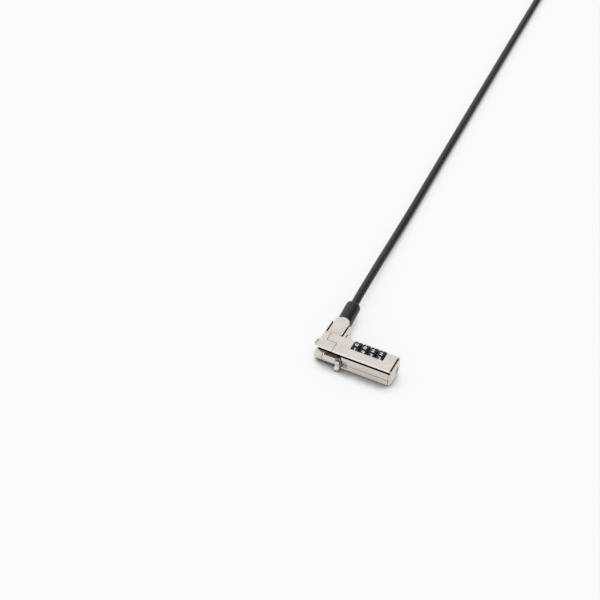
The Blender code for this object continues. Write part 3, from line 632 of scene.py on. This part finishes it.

# %% [markdown]
# ## Painted shade in the gaps
# The head's castings stand apart by fractions of a millimetre, and the photograph shows those
# gaps as dark lines, so shade is painted black into them. Their places are known from the
# drawing, so a mask is a product of bands along the axes. That needs no texture, and it keeps its
# place on the part.

# %% Painted black shade in the gaps
COVER_Z = 10.1
LEDGE_Z = 5.95
BODY_REVEAL_Y = (-1.0, 11.3)
BODY_REVEAL_Z = (8.5, 10.4)
RECESS_X = (-1.0, 15.0)
RECESS_Y = (0.9, 3.2)
RECESS_Z = (LEDGE_Z - 0.1, 6.9)
FRONT_FACE_Y = (-0.5, 0.5)
CASE_JOINT_Z = (3.36, 3.74)
CAP_FACE_X = (40.0, 42.51)
CAP_GAP_Y = (0.48, 10.32)
CAP_GAP_Z = (8.6, 11.5)
CAP_REVEAL_Y = (0.1, 1.35)
CAP_REVEAL_Z = (8.5, COVER_Z)
WALL_FOOT_X = (0.05, 15.0)
WALL_FOOT_Y = (2.0, 3.2)
WALL_FOOT_Z = (LEDGE_Z - 1.2, 6.9)


def band(value, span, soft=0.05):
    """1 where a drawing size lies in a span of millimetres, with soft ends."""
    low, high = span
    return value.ramp(low - soft, low) * (1 - value.ramp(high, high + soft))


def on_body(x, y, z):
    """Painted shade in the reveal below the cover and at the back of the front recess, and a dark
    line at the joint with the case.
    """
    reveal = band(z, BODY_REVEAL_Z) * band(y, BODY_REVEAL_Y)
    recess = band(z, RECESS_Z, soft=0.2) * band(y, RECESS_Y) * band(x, RECESS_X)
    joint = band(z, CASE_JOINT_Z) * band(y, FRONT_FACE_Y)
    return reveal.either(recess).either(joint)


def in_end_gap(x, y, z):
    """Painted shade in the gap between the cover and the end cap, and at the end of the reveal.
    """
    gap = band(y, CAP_GAP_Y, soft=0.03) * band(z, CAP_GAP_Z)
    reveal = band(y, CAP_REVEAL_Y) * band(z, CAP_REVEAL_Z)
    return band(x, CAP_FACE_X, soft=0.03) * gap.either(reveal)


def below_nose(x, y, z):
    """The foot of the nose's wall, where the overhanging roof keeps it dark."""
    return (band(z, WALL_FOOT_Z, soft=0.2) * band(y, WALL_FOOT_Y, soft=0.3)
            * band(x, WALL_FOOT_X))


finishes["body_nickel"] = satin_nickel("body_nickel", in_shade=on_body)
finishes["cap_nickel"] = satin_nickel("cap_nickel", in_shade=in_end_gap)
print("with black gaps:", sorted(finishes))

# %% [markdown]
# ## The slide, the tongue and the cover's end
# Three more castings have faces inside gaps that are painted with shade: the back of the slide's
# ledge, the two sides of the tongue, and the cover's end. The cover also gets a faint painted
# shadow line round the lip at the tongue. That lip is a part of a circle, so its mask is a band
# of the distance from its centre.

# %% Painted shade inside the moving gaps
LEDGE_BACK_Y = (1.3, 3.5)
LEDGE_BACK_Z = (LEDGE_Z - 0.1, LEDGE_Z + 0.2)
LEDGE_BACK_DARKNESS = 0.6
TONGUE_MIDDLE_X = (1.13, 9.17)
TONGUE_Y = (9.0, 20.2)
TONGUE_Z = (0.0, 10.33)
COVER_END_X = (41.72, 42.2)
COVER_END_Y = (0.5, 10.3)
COVER_END_Z = (10.0, 10.93)
LIP_CENTRE = (6.35, 9.86)
LIP_FROM_CENTRE = (2.77, 3.09)
LIP_Y = (11.3, 13.0)
LIP_DARKNESS = 0.42


def on_ledge(x, y, z):
    """Painted shade on the back of the slide's ledge, which lies deep in the recess."""
    return band(z, LEDGE_BACK_Z) * band(y, LEDGE_BACK_Y, soft=0.7) * LEDGE_BACK_DARKNESS


def tongue_sides(x, y, z):
    """Painted shade on the tongue's two sides, inside the narrow gaps beside the lugs."""
    sides = 1 - band(x, TONGUE_MIDDLE_X, soft=0.03)
    return sides * band(y, TONGUE_Y, soft=0.1) * band(z, TONGUE_Z)


def cover_end(x, y, z):
    """Painted shade on the cover's end face inside the end gap, and a faint painted shadow line
    round its lip at the tongue.
    """
    end = band(x, COVER_END_X, soft=0.03) * band(y, COVER_END_Y) * band(z, COVER_END_Z, soft=0.03)
    across, away = x - LIP_CENTRE[0], y - LIP_CENTRE[1]
    from_centre = (across * across + away * away) ** 0.5
    lip = band(from_centre, LIP_FROM_CENTRE, soft=0.08) * band(y, LIP_Y, soft=0.1)
    return end.either(lip * LIP_DARKNESS)


finishes["tongue_nickel"] = satin_nickel("tongue_nickel", in_shade=tongue_sides)
print("the lip's line is", round(LIP_FROM_CENTRE[1] - LIP_FROM_CENTRE[0], 2), "mm wide")

# %% [markdown]
# ## Painted highlights on edges
# A thin line of light is painted along the front edge of the cover and the nose, and along the
# edge of the slide's ledge. The same kind of mask makes them lighter and smoother.

# %% Painted highlights on edges
FRONT_EDGE_Y = (-0.2, 0.16)
FRONT_EDGE_Z = (COVER_Z, 12.0)
LEDGE_EDGE_Y = (-0.2, 0.5)
LEDGE_EDGE_Z = (LEDGE_Z - 0.14, LEDGE_Z + 0.2)


def front_edge(x, y, z):
    """The painted highlight along the front edge of the cover and the nose."""
    return band(y, FRONT_EDGE_Y, soft=0.12) * band(z, FRONT_EDGE_Z)


def ledge_edge(x, y, z):
    """The painted highlight along the front edge of the slide's ledge."""
    return band(y, LEDGE_EDGE_Y, soft=0.3) * band(z, LEDGE_EDGE_Z)


finishes["nose_nickel"] = satin_nickel("nose_nickel", in_shade=below_nose, highlighted=front_edge)
finishes["cover_nickel"] = satin_nickel("cover_nickel", in_shade=cover_end, highlighted=front_edge)
finishes["slide_nickel"] = satin_nickel("slide_nickel", in_shade=on_ledge, highlighted=ledge_edge)
print("nickel finishes:", len(finishes))

# %% [markdown]
# ## Machined steel, spring steel and brass
# The inner parts aren't plated. A tool or a drawing die leaves fine streaks on them, along the
# part or round it, and bare metal tarnishes in patches. Noise that is stretched along one axis
# gives the streaks, and one function makes all three metals.

# %% Bare metals
STREAK_SIZE = 0.0004
STREAK_SWING = 0.16
TARNISH_SIZE = 0.003
TARNISH_SWING = 0.1
TARNISH_TONE = 0.7
METAL_GAP_REACH = 0.0015
METAL_GAP_EDGES = (0.2, 0.75)
# Colour of the painted shade in gaps and corners.
METAL_GAP_SHADE = (0.012, 0.011, 0.010)


def worked_metal(name, tint, roughness, grain, depth):
    """A bare metal with streaks along the grain that its tool or drawing die left, and painted
    shade in its gaps.
    """
    material, tree = start_material(name)
    spot = position(tree)
    streak = noise(stretch(spot, *grain), STREAK_SIZE, 3.0, 0.6)
    tarnish = noise(spot, TARNISH_SIZE, 3.0)
    metal = mix_colours(tarnish.ramp(0.4, 0.75), tint, shade(tint, TARNISH_TONE))
    # Painted shade: darker in narrow gaps and corners, where openness is low.
    open_share = openness(tree, METAL_GAP_REACH).ramp(*METAL_GAP_EDGES)
    return finish_material(material, {
        "Base Color": mix_colours(open_share, METAL_GAP_SHADE, metal),
        "Metallic": 1.0,
        "Roughness": roughness + STREAK_SWING * (streak - 0.5) + TARNISH_SWING * (tarnish - 0.5),
        "Normal": bumps(streak, depth, 0.5),
    })


finishes["hard_steel"] = worked_metal("hard_steel", tint=(0.56, 0.56, 0.57), roughness=0.30,
                                      grain=(1.0, 0.12, 1.0), depth=0.00002)
finishes["spring_steel"] = worked_metal("spring_steel", tint=(0.46, 0.46, 0.48), roughness=0.28,
                                        grain=(0.15, 1.0, 1.0), depth=0.00001)
finishes["brass"] = worked_metal("brass", tint=(0.78, 0.60, 0.29), roughness=0.26,
                                 grain=(1.0, 0.2, 0.2), depth=0.00002)
print("metals:", sorted(finishes))

# %% [markdown]
# ## Black plastic
# The dials are moulded in black plastic and the boot in a softer black one. Both are a dark
# satin: the colour is nearly flat, and the light on them comes from the surface's fine texture.

# %% Moulded black finishes
HANDLED_SIZE = 0.004
HANDLED_TONE = 1.5
HANDLED_SMOOTHER = 0.05
TEXTURE_SWING = 0.08


def moulded_black(name, tint, roughness, grain_size, depth):
    """Black plastic with the fine texture of a spark-eroded mould."""
    material, tree = start_material(name)
    spot = position(tree)
    grain = noise(spot, grain_size, 2.0, 0.6)
    handled = noise(spot, HANDLED_SIZE, 3.0).ramp(0.45, 0.75)
    return finish_material(material, {
        "Base Color": mix_colours(handled, tint, shade(tint, HANDLED_TONE)),
        "Roughness": roughness + TEXTURE_SWING * grain - HANDLED_SMOOTHER * handled,
        "Normal": bumps(grain, depth, 0.7),
    })


finishes["dial_black"] = moulded_black("dial_black", tint=(0.010, 0.010, 0.012), roughness=0.36,
                                       grain_size=0.00025, depth=0.00002)
finishes["boot_black"] = moulded_black("boot_black", tint=(0.008, 0.008, 0.009), roughness=0.38,
                                       grain_size=0.00030, depth=0.00003)
print("all finishes:", len(finishes))

# %% [markdown]
# ## Dressing the packed parts
# Each packed part knows the slot of its material, and six castings have a nickel of their own.
# Round faces come packed as flat strips, so they are shaded smooth: the corners are welded, the
# mesh is split where it turns sharply, and large flat faces lead the normals, so that a flat
# face next to a rounding stays flat.

# %% Give every packed part its finish
OWN_FINISH = {"main_body": "body_nickel", "end_cap": "cap_nickel", "nose_block": "nose_nickel",
              "top_cover": "cover_nickel", "release_slide": "slide_nickel",
              "cable_yoke": "tongue_nickel"}
SLOT_OF_NODE = {part["node"]: part["material_slot"] for part in frame["record"]["subparts"]}
WELD_DISTANCE = 0.000001
SHARP_TURN = math.radians(50.0)
FLAT_FACE_LEAD = 80


def smooth_round_faces(piece):
    """Round faces shade smoothly, flat faces stay flat, and sharp edges stay sharp."""
    custom = piece.data.attributes.get("custom_normal")
    if custom:
        piece.data.attributes.remove(custom)
    for face in piece.data.polygons:
        face.use_smooth = True
    weld = piece.modifiers.new("weld", "WELD")
    weld.merge_threshold = WELD_DISTANCE
    split = piece.modifiers.new("sharp_edges", "EDGE_SPLIT")
    split.split_angle = SHARP_TURN
    split.use_edge_sharp = False
    weighted = piece.modifiers.new("flat_faces_lead", "WEIGHTED_NORMAL")
    weighted.weight = FLAT_FACE_LEAD


dressed = 0
for name, piece in frame["nodes"].items():
    finish = OWN_FINISH.get(name, SLOT_OF_NODE[name])
    if finish in finishes:
        piece.data.materials.clear()
        piece.data.materials.append(finishes[finish])
        smooth_round_faces(piece)
        dressed += 1
print("dressed parts:", dressed, "of", len(frame["nodes"]))

# %% [markdown]
# ## The dials
# Each dial is a wheel with ten flat faces, one for each number, and a groove between faces that
# the spring's finger clicks into. The packed dial is coarse, so a finer one takes its place. Its
# outline is a formula: nearly flat across a face, and easing down into the groove.

# %% Dial outline, in millimetres
DIGITS = 10
PITCH_ANGLE = math.tau / DIGITS
DIAL_RADIUS = 4.5
FACE_MIDDLE_RADIUS = 4.44
GROOVE_RADIUS = 4.0
FACE_HALF_SHARE = 0.34
GROOVE_ROUNDNESS = 0.9


def dial_radius(share):
    """Radius of the dial where share runs from -0.5 to 0.5 across one number's face."""
    side = abs(share)
    if side <= FACE_HALF_SHARE:
        lift = (side / FACE_HALF_SHARE) ** 2
        return FACE_MIDDLE_RADIUS + (DIAL_RADIUS - FACE_MIDDLE_RADIUS) * lift
    fall = (side - FACE_HALF_SHARE) / (0.5 - FACE_HALF_SHARE)
    return DIAL_RADIUS + (GROOVE_RADIUS - DIAL_RADIUS) * ease(fall) ** GROOVE_ROUNDNESS


print("radius at a face's middle, edge and groove:",
      [round(dial_radius(share), 2) for share in (0.0, FACE_HALF_SHARE, 0.5)])

# %% [markdown]
# ## Building the wheels
# The outline is repeated across the dial's width, a little smaller towards each rim, so that
# the rims are rounded. Two more rings at the bore close the wheel, which leaves it hollow for its
# code sleeve. Each dial rides on its own body, so it turns with its joint.

# %% Build the four dials
DIAL_YZ = (8.8, 7.7)
DIAL_X = (19.6, 24.2, 28.8, 33.4)
DIAL_WIDTH = 4.1
DIAL_BORE = 2.95
DIAL_BODIES = ("first_dial", "second_dial", "third_dial", "fourth_dial")
RIM_ROUNDING = [(0.0, 0.86), (0.12, 0.915), (0.3, 0.96), (0.55, 0.99), (0.8, 1.0)]
STEPS_PER_FACE = 16
STRAIGHT_UP = math.pi / 2


def on_dial(index, across, angle, radius):
    """A point on a dial: across its width, at an angle from +Y towards +Z."""
    return place(DIAL_X[index] + across, DIAL_YZ[0] + radius * math.cos(angle),
                 DIAL_YZ[1] + radius * math.sin(angle))


def dial_ring(bm, index, across, largest):
    """The dial's outline at one place across its width, no larger than the largest radius."""
    ring = []
    for angle in ring_angles(DIGITS * STEPS_PER_FACE):
        share = (angle / PITCH_ANGLE + 0.5) % 1.0 - 0.5
        radius = min(dial_radius(share), largest)
        ring.append(bm.verts.new(on_dial(index, across, angle + STRAIGHT_UP, radius)))
    return ring


def build_dial(index):
    """A faceted wheel with rounded rims, hollow for its code sleeve."""
    bm = bmesh.new()
    half = DIAL_WIDTH / 2
    rings = [dial_ring(bm, index, inset - half, DIAL_RADIUS * share)
             for inset, share in RIM_ROUNDING]
    rings += [dial_ring(bm, index, half - inset, DIAL_RADIUS * share)
              for inset, share in reversed(RIM_ROUNDING)]
    rings += [dial_ring(bm, index, across, DIAL_BORE) for across in (half, -half)]
    skin(bm, [*rings, rings[0]])
    bmesh.ops.recalc_face_normals(bm, faces=bm.faces)
    piece = add_piece(f"number_dial_{index + 1}", bm)
    piece.data.materials.append(finishes["dial_black"])
    return piece


for index, body in enumerate(DIAL_BODIES):
    dial = build_dial(index)
    rim = dial.modifiers.new("sharp_rim", "EDGE_SPLIT")
    rim.split_angle = SHARP_TURN
    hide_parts(f"dial_{index + 1}")
    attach(dial, body)
print("faces of one dial:", len(dial.data.polygons))

# %% [markdown]
# ## The numbers
# White numbers are printed on the dials. A picture of them would blur close up, so each one
# starts as Blender's own text and becomes a mesh, a little bolder than the plain letter and
# brought to the size of the printed ones.

# %% Ink, and the mesh of one number
NUMBER_HEIGHT = 1.75
NUMBER_WIDTH = 2.05
WIDEST_STRETCH = 1.5
TEXT_CURVE_STEPS = 6
TEXT_BOLDNESS = 0.018
WEAR_SIZE = 0.0004
INK_WHITE = (0.86, 0.86, 0.84)
WORN_WHITE = (0.60, 0.60, 0.59)
INK_ROUGHNESS = 0.45


def white_ink():
    """White printed ink, a little uneven and worn."""
    material, tree = start_material("white_ink")
    wear = noise(position(tree), WEAR_SIZE, 3.0).ramp(0.55, 0.8)
    return finish_material(material, {
        "Base Color": mix_colours(wear, INK_WHITE, WORN_WHITE),
        "Roughness": INK_ROUGHNESS + 0.1 * wear,
    })


def text_mesh(letters):
    """Blender's own text as a mesh, with nothing else of it left in the scene."""
    curve = bpy.data.curves.new("number", "FONT")
    curve.body = letters
    curve.resolution_u = TEXT_CURVE_STEPS
    curve.offset = TEXT_BOLDNESS
    holder = bpy.data.objects.new("number", curve)
    bpy.context.scene.collection.objects.link(holder)
    bpy.context.view_layer.update()
    mesh = bpy.data.meshes.new_from_object(holder)
    bpy.data.objects.remove(holder, do_unlink=True)
    bpy.data.curves.remove(curve)
    return mesh


def number_mesh(digit):
    """Faces of one number, centred, with its height and width brought to size."""
    mesh = text_mesh(str(digit))
    xs = [v.co.x for v in mesh.vertices]
    ys = [v.co.y for v in mesh.vertices]
    left, right, bottom, top = min(xs), max(xs), min(ys), max(ys)
    tall = NUMBER_HEIGHT / (top - bottom)
    wide = min(NUMBER_WIDTH / (right - left), tall * WIDEST_STRETCH)
    for v in mesh.vertices:
        v.co = ((v.co.x - (right + left) / 2) * wide, (v.co.y - (top + bottom) / 2) * tall, 0)
    return mesh


ink = white_ink()
print("ink:", ink.name)

# %% [markdown]
# ## Wrapping the numbers onto the dials
# Each number is cut into strips, so that it can bend, and laid on its face a hair above the
# plastic, where light and shadow treat it as ink. The dials show a code when the lock is at
# rest, so each dial starts at its own number.

# %% Wrap the numbers
SHOWN_CODE = (0, 8, 2, 2)
NUMBER_STRIPS = 12
INK_LIFT = 0.025
NUMBER_TURN = math.radians(2.0)


def cut_into_strips(bm):
    """Cut a number across its height, at even steps."""
    for k in range(1, NUMBER_STRIPS):
        height = NUMBER_HEIGHT * (k / NUMBER_STRIPS - 0.5)
        bmesh.ops.bisect_plane(bm, geom=[*bm.verts, *bm.edges, *bm.faces],
                               plane_co=(0, height, 0), plane_no=(0, 1, 0))


def build_numbers(index):
    """All ten numbers of one dial, wrapped onto its faces."""
    bm = bmesh.new()
    for digit in range(DIGITS):
        face_angle = STRAIGHT_UP + (digit - SHOWN_CODE[index]) * PITCH_ANGLE + NUMBER_TURN
        mesh = number_mesh(digit)
        strips = bmesh.new()
        strips.from_mesh(mesh)
        cut_into_strips(strips)
        for v in strips.verts:
            swing = v.co.y / DIAL_RADIUS
            radius = dial_radius(swing / PITCH_ANGLE) + INK_LIFT
            v.co = on_dial(index, v.co.x, face_angle - swing, radius)
        strips.to_mesh(mesh)
        strips.free()
        bm.from_mesh(mesh)
        bpy.data.meshes.remove(mesh)
    return add_piece(f"dial_numbers_{index + 1}", bm)


for index, body in enumerate(DIAL_BODIES):
    numbers = build_numbers(index)
    numbers.data.materials.append(ink)
    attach(numbers, body)
print("numbers on each dial:", DIGITS, "shown:", SHOWN_CODE)

# %% [markdown]
# ## The boot
# The boot keeps the cable from kinking where it leaves the swivel. It is a moulded sleeve with
# a rounded far end and a small lip where the cable comes out. A profile turned round the
# swivel's axis gives that shape, finer than the packed boot.

# %% Turn the boot
BOOT_RADIUS = 4.1
BOOT_SIDES = 64
BOOT_PROFILE = [(0.32, 2.5), (0.32, BOOT_RADIUS - 0.32), (0.4, BOOT_RADIUS - 0.12),
                (0.62, BOOT_RADIUS), (3.0, BOOT_RADIUS), (9.0, BOOT_RADIUS), (16.8, BOOT_RADIUS),
                (17.3, 4.06), (17.8, 3.9), (18.2, 3.66), (18.5, 3.38), (18.72, 3.06),
                (18.84, 2.8), (18.87, 2.58), (18.8, 2.42), (18.5, 2.32), (14.0, 2.32)]


def build_boot():
    """The boot, turned round the cable's axis."""
    bm = bmesh.new()
    skin(bm, [[bm.verts.new(along_swivel(s, radius * math.cos(a), radius * math.sin(a)))
               for a in ring_angles(BOOT_SIDES)] for s, radius in BOOT_PROFILE])
    bmesh.ops.recalc_face_normals(bm, faces=bm.faces)
    piece = add_piece("moulded_boot", bm)
    piece.data.materials.append(finishes["boot_black"])
    return piece


boot = build_boot()
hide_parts("cable_boot")
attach(boot, "swivel")
print("boot box:", rounded((boot.bound_box[0], boot.bound_box[6])))

# %% [markdown]
# ## The return spring
# A coil spring inside the lower case pushes the catch back. One end sits on the bolt's collar and
# the other in the case, so the spring gets shorter when the catch is drawn. Here the piece is
# built at its rest length and rides on no body. Its end turns are closed, as on a real
# compression spring.
# The wire is swept along a helix with the same function as the cable.

# %% Wind the spring
SPRING_X = (20.06, 29.74)
SPRING_YZ = (3.1, 2.2)
SPRING_TURNS = 8
SPRING_RADIUS = 0.95
SPRING_WIRE = 0.16
CLOSED_PITCH = 0.37
STEPS_PER_TURN = 30
WIRE_SIDES = 10
WIRE_END_ROUNDING = 0.2


def spring_points():
    """The wire's centreline, with one closed turn at each end."""
    open_pitch = (SPRING_X[1] - SPRING_X[0] - 2 * CLOSED_PITCH) / (SPRING_TURNS - 2)
    points = []
    for step in range(SPRING_TURNS * STEPS_PER_TURN + 1):
        turn = step / STEPS_PER_TURN
        closed = min(turn, 1.0) + max(turn - SPRING_TURNS + 1, 0.0)
        x = SPRING_X[0] + closed * CLOSED_PITCH + (turn - closed) * open_pitch
        points.append(place(x, SPRING_YZ[0] + SPRING_RADIUS * math.cos(math.tau * turn),
                            SPRING_YZ[1] + SPRING_RADIUS * math.sin(math.tau * turn)))
    return points


coil_spring = sweep_tube("coil_spring", spring_points(), SPRING_WIRE * MM, WIRE_SIDES,
                         WIRE_END_ROUNDING)
coil_spring.data.materials.append(finishes["spring_steel"])
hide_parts("return_spring")
place(SPRING_X[0] - SPRING_WIRE, *SPRING_YZ)
place(SPRING_X[1] + SPRING_WIRE, *SPRING_YZ)
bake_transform(coil_spring)

# %% [markdown] ## Where the cable leaves the boot A cable can lie in many ways, and this one is only drawn in one of them. The exit is the boot's far end, on the swivel's axis. Real cables of this kind are 1.8 m long.

BOOT_LENGTH = 18.9

along_swivel(BOOT_LENGTH)
print("the cable leaves the boot at:", rounded([along_swivel(BOOT_LENGTH)])[0])

# %% [markdown]
# ## The table
# The photograph has a plain white background, but a table that is lit to pure white would flood
# the lock with light from below. So the table's shader asks what kind of ray has met it. To the
# camera and in reflections it glows near white, and to all other light it is plain grey-white.
# A contact shadow is painted into the table's colour, soft and narrow and leaning away from the
# light. The openness of a table point, looking towards that light, draws it, and it is fainter in
# reflections, so that it doesn't darken the metal above it.

# %% What the table looks like
TABLE_SIZE = 8.0
TABLE_DROP = 0.0001
LIT_TABLE = grey(0.80)
SEEN_TABLE = grey(0.24)
SEEN_GLOW = grey(0.725)
SHADOW_COLOUR = grey(0.04)
SHADOW_FACING = (-0.3, 1.0, 1.0)
SHADOW_REACH = 0.009
SHADOW_SAMPLES = 8
SHADOW_EDGES = (0.20, 0.76)
SHADOW_DEPTH = 0.97
LESS_IN_REFLECTIONS = 0.78


def ray_kinds(tree):
    """Three masks: a ray from the camera, one in a reflection, and one through a clear piece."""
    camera_ray = add_node(tree, "ShaderNodeLightPath", output="Is Camera Ray")
    outputs = camera_ray.socket.node.outputs
    return camera_ray, Signal(outputs["Is Glossy Ray"]), Signal(outputs["Is Transmission Ray"])


def white_table():
    """A matt table that looks near white, with a soft painted shadow that leans away from the
    light.
    """
    material, tree = start_material("white_table")
    camera_ray, glossy_ray, clear_ray = ray_kinds(tree)
    seen = camera_ray.either(glossy_ray).either(clear_ray)
    # Painted shadow: darker where a table point is closed off towards the light.
    open_side = openness(tree, SHADOW_REACH, SHADOW_SAMPLES, SHADOW_FACING)
    shadow = (SHADOW_DEPTH * (1 - open_side.ramp(*SHADOW_EDGES))
              * (1 - glossy_ray * LESS_IN_REFLECTIONS))
    unshaded = 1 - shadow
    return finish_material(material, {
        "Base Color": mix_colours(unshaded, SHADOW_COLOUR,
                                  mix_colours(seen, LIT_TABLE, SEEN_TABLE)),
        "Roughness": 1.0,
        "Specular IOR Level": 0.0,
        "Emission Color": mix_colours(seen * unshaded, grey(0.0), SEEN_GLOW),
        "Emission Strength": 1.0,
    })


bpy.ops.mesh.primitive_plane_add(size=TABLE_SIZE, location=(0, 0, -TABLE_DROP))
table = bpy.context.object
table.name = "table"
table.data.materials.append(white_table())
print("table:", TABLE_SIZE, "m wide, and", TABLE_DROP / MM, "mm below the lock")

# %% [markdown]
# ## The room
# Light comes from everywhere in a white room, so the world gives off an even level of light, and
# the camera sees it near white. Metal needs something to mirror: in reflections the room is
# bright on the left and falls off to a dark right side, which gives the plated faces their
# different tones, as in the photograph.

# %% Room light
SKY_LEVEL = 0.76
SEEN_LEVEL = 0.97
BRIGHT_SIDE = 1.02
DARK_SIDE = 0.08
LEFT_TO_RIGHT = (-0.2, 0.62)

world = bpy.data.worlds.new("studio")
bpy.context.scene.world = world
tree = empty_tree(world)
camera_ray, glossy_ray, clear_ray = ray_kinds(tree)
plain = SKY_LEVEL + camera_ray.either(clear_ray) * (SEEN_LEVEL - SKY_LEVEL)
rightward = add_node(tree, "ShaderNodeTexCoord", output="Generated").part(0)
mirrored = BRIGHT_SIDE - (BRIGHT_SIDE - DARK_SIDE) * rightward.ramp(*LEFT_TO_RIGHT)
sky = add_node(tree, "ShaderNodeBackground", {}, {
    "Color": (1.0, 1.0, 1.0, 1.0), "Strength": plain + glossy_ray * (mirrored - plain)})
add_node(tree, "ShaderNodeOutputWorld", {}, {"Surface": sky})
print("the mirrored room runs from", BRIGHT_SIDE, "on the left to", DARK_SIDE, "on the right")

# %% [markdown]
# ## A soft sun
# About a quarter of the light comes from one wide source, almost overhead, a little from behind
# and from the left. It separates the top of the head from its front. A sun lamp is even over
# the whole lock, and a wide angle keeps its shadows soft. It isn't mirrored, because a
# round bright spot on the metal would give it away.

# %% Soft sun
SUN_SHARE = 0.24
SUN_FROM = Vector((-0.25, 0.35, 0.90)).normalized()
SUN_WIDTH = math.radians(35.0)

sun = bpy.data.objects.new("soft_light", bpy.data.lights.new("soft_light", "SUN"))
sun.data.energy = SUN_SHARE * math.pi / SUN_FROM.z
sun.data.angle = SUN_WIDTH
sun.visible_glossy = False
sun.rotation_euler = SUN_FROM.to_track_quat("Z", "Y").to_euler()
bpy.context.scene.collection.objects.link(sun)
print("light level on the table:", round(SKY_LEVEL + SUN_SHARE, 2))

# %% [markdown] ## Finish
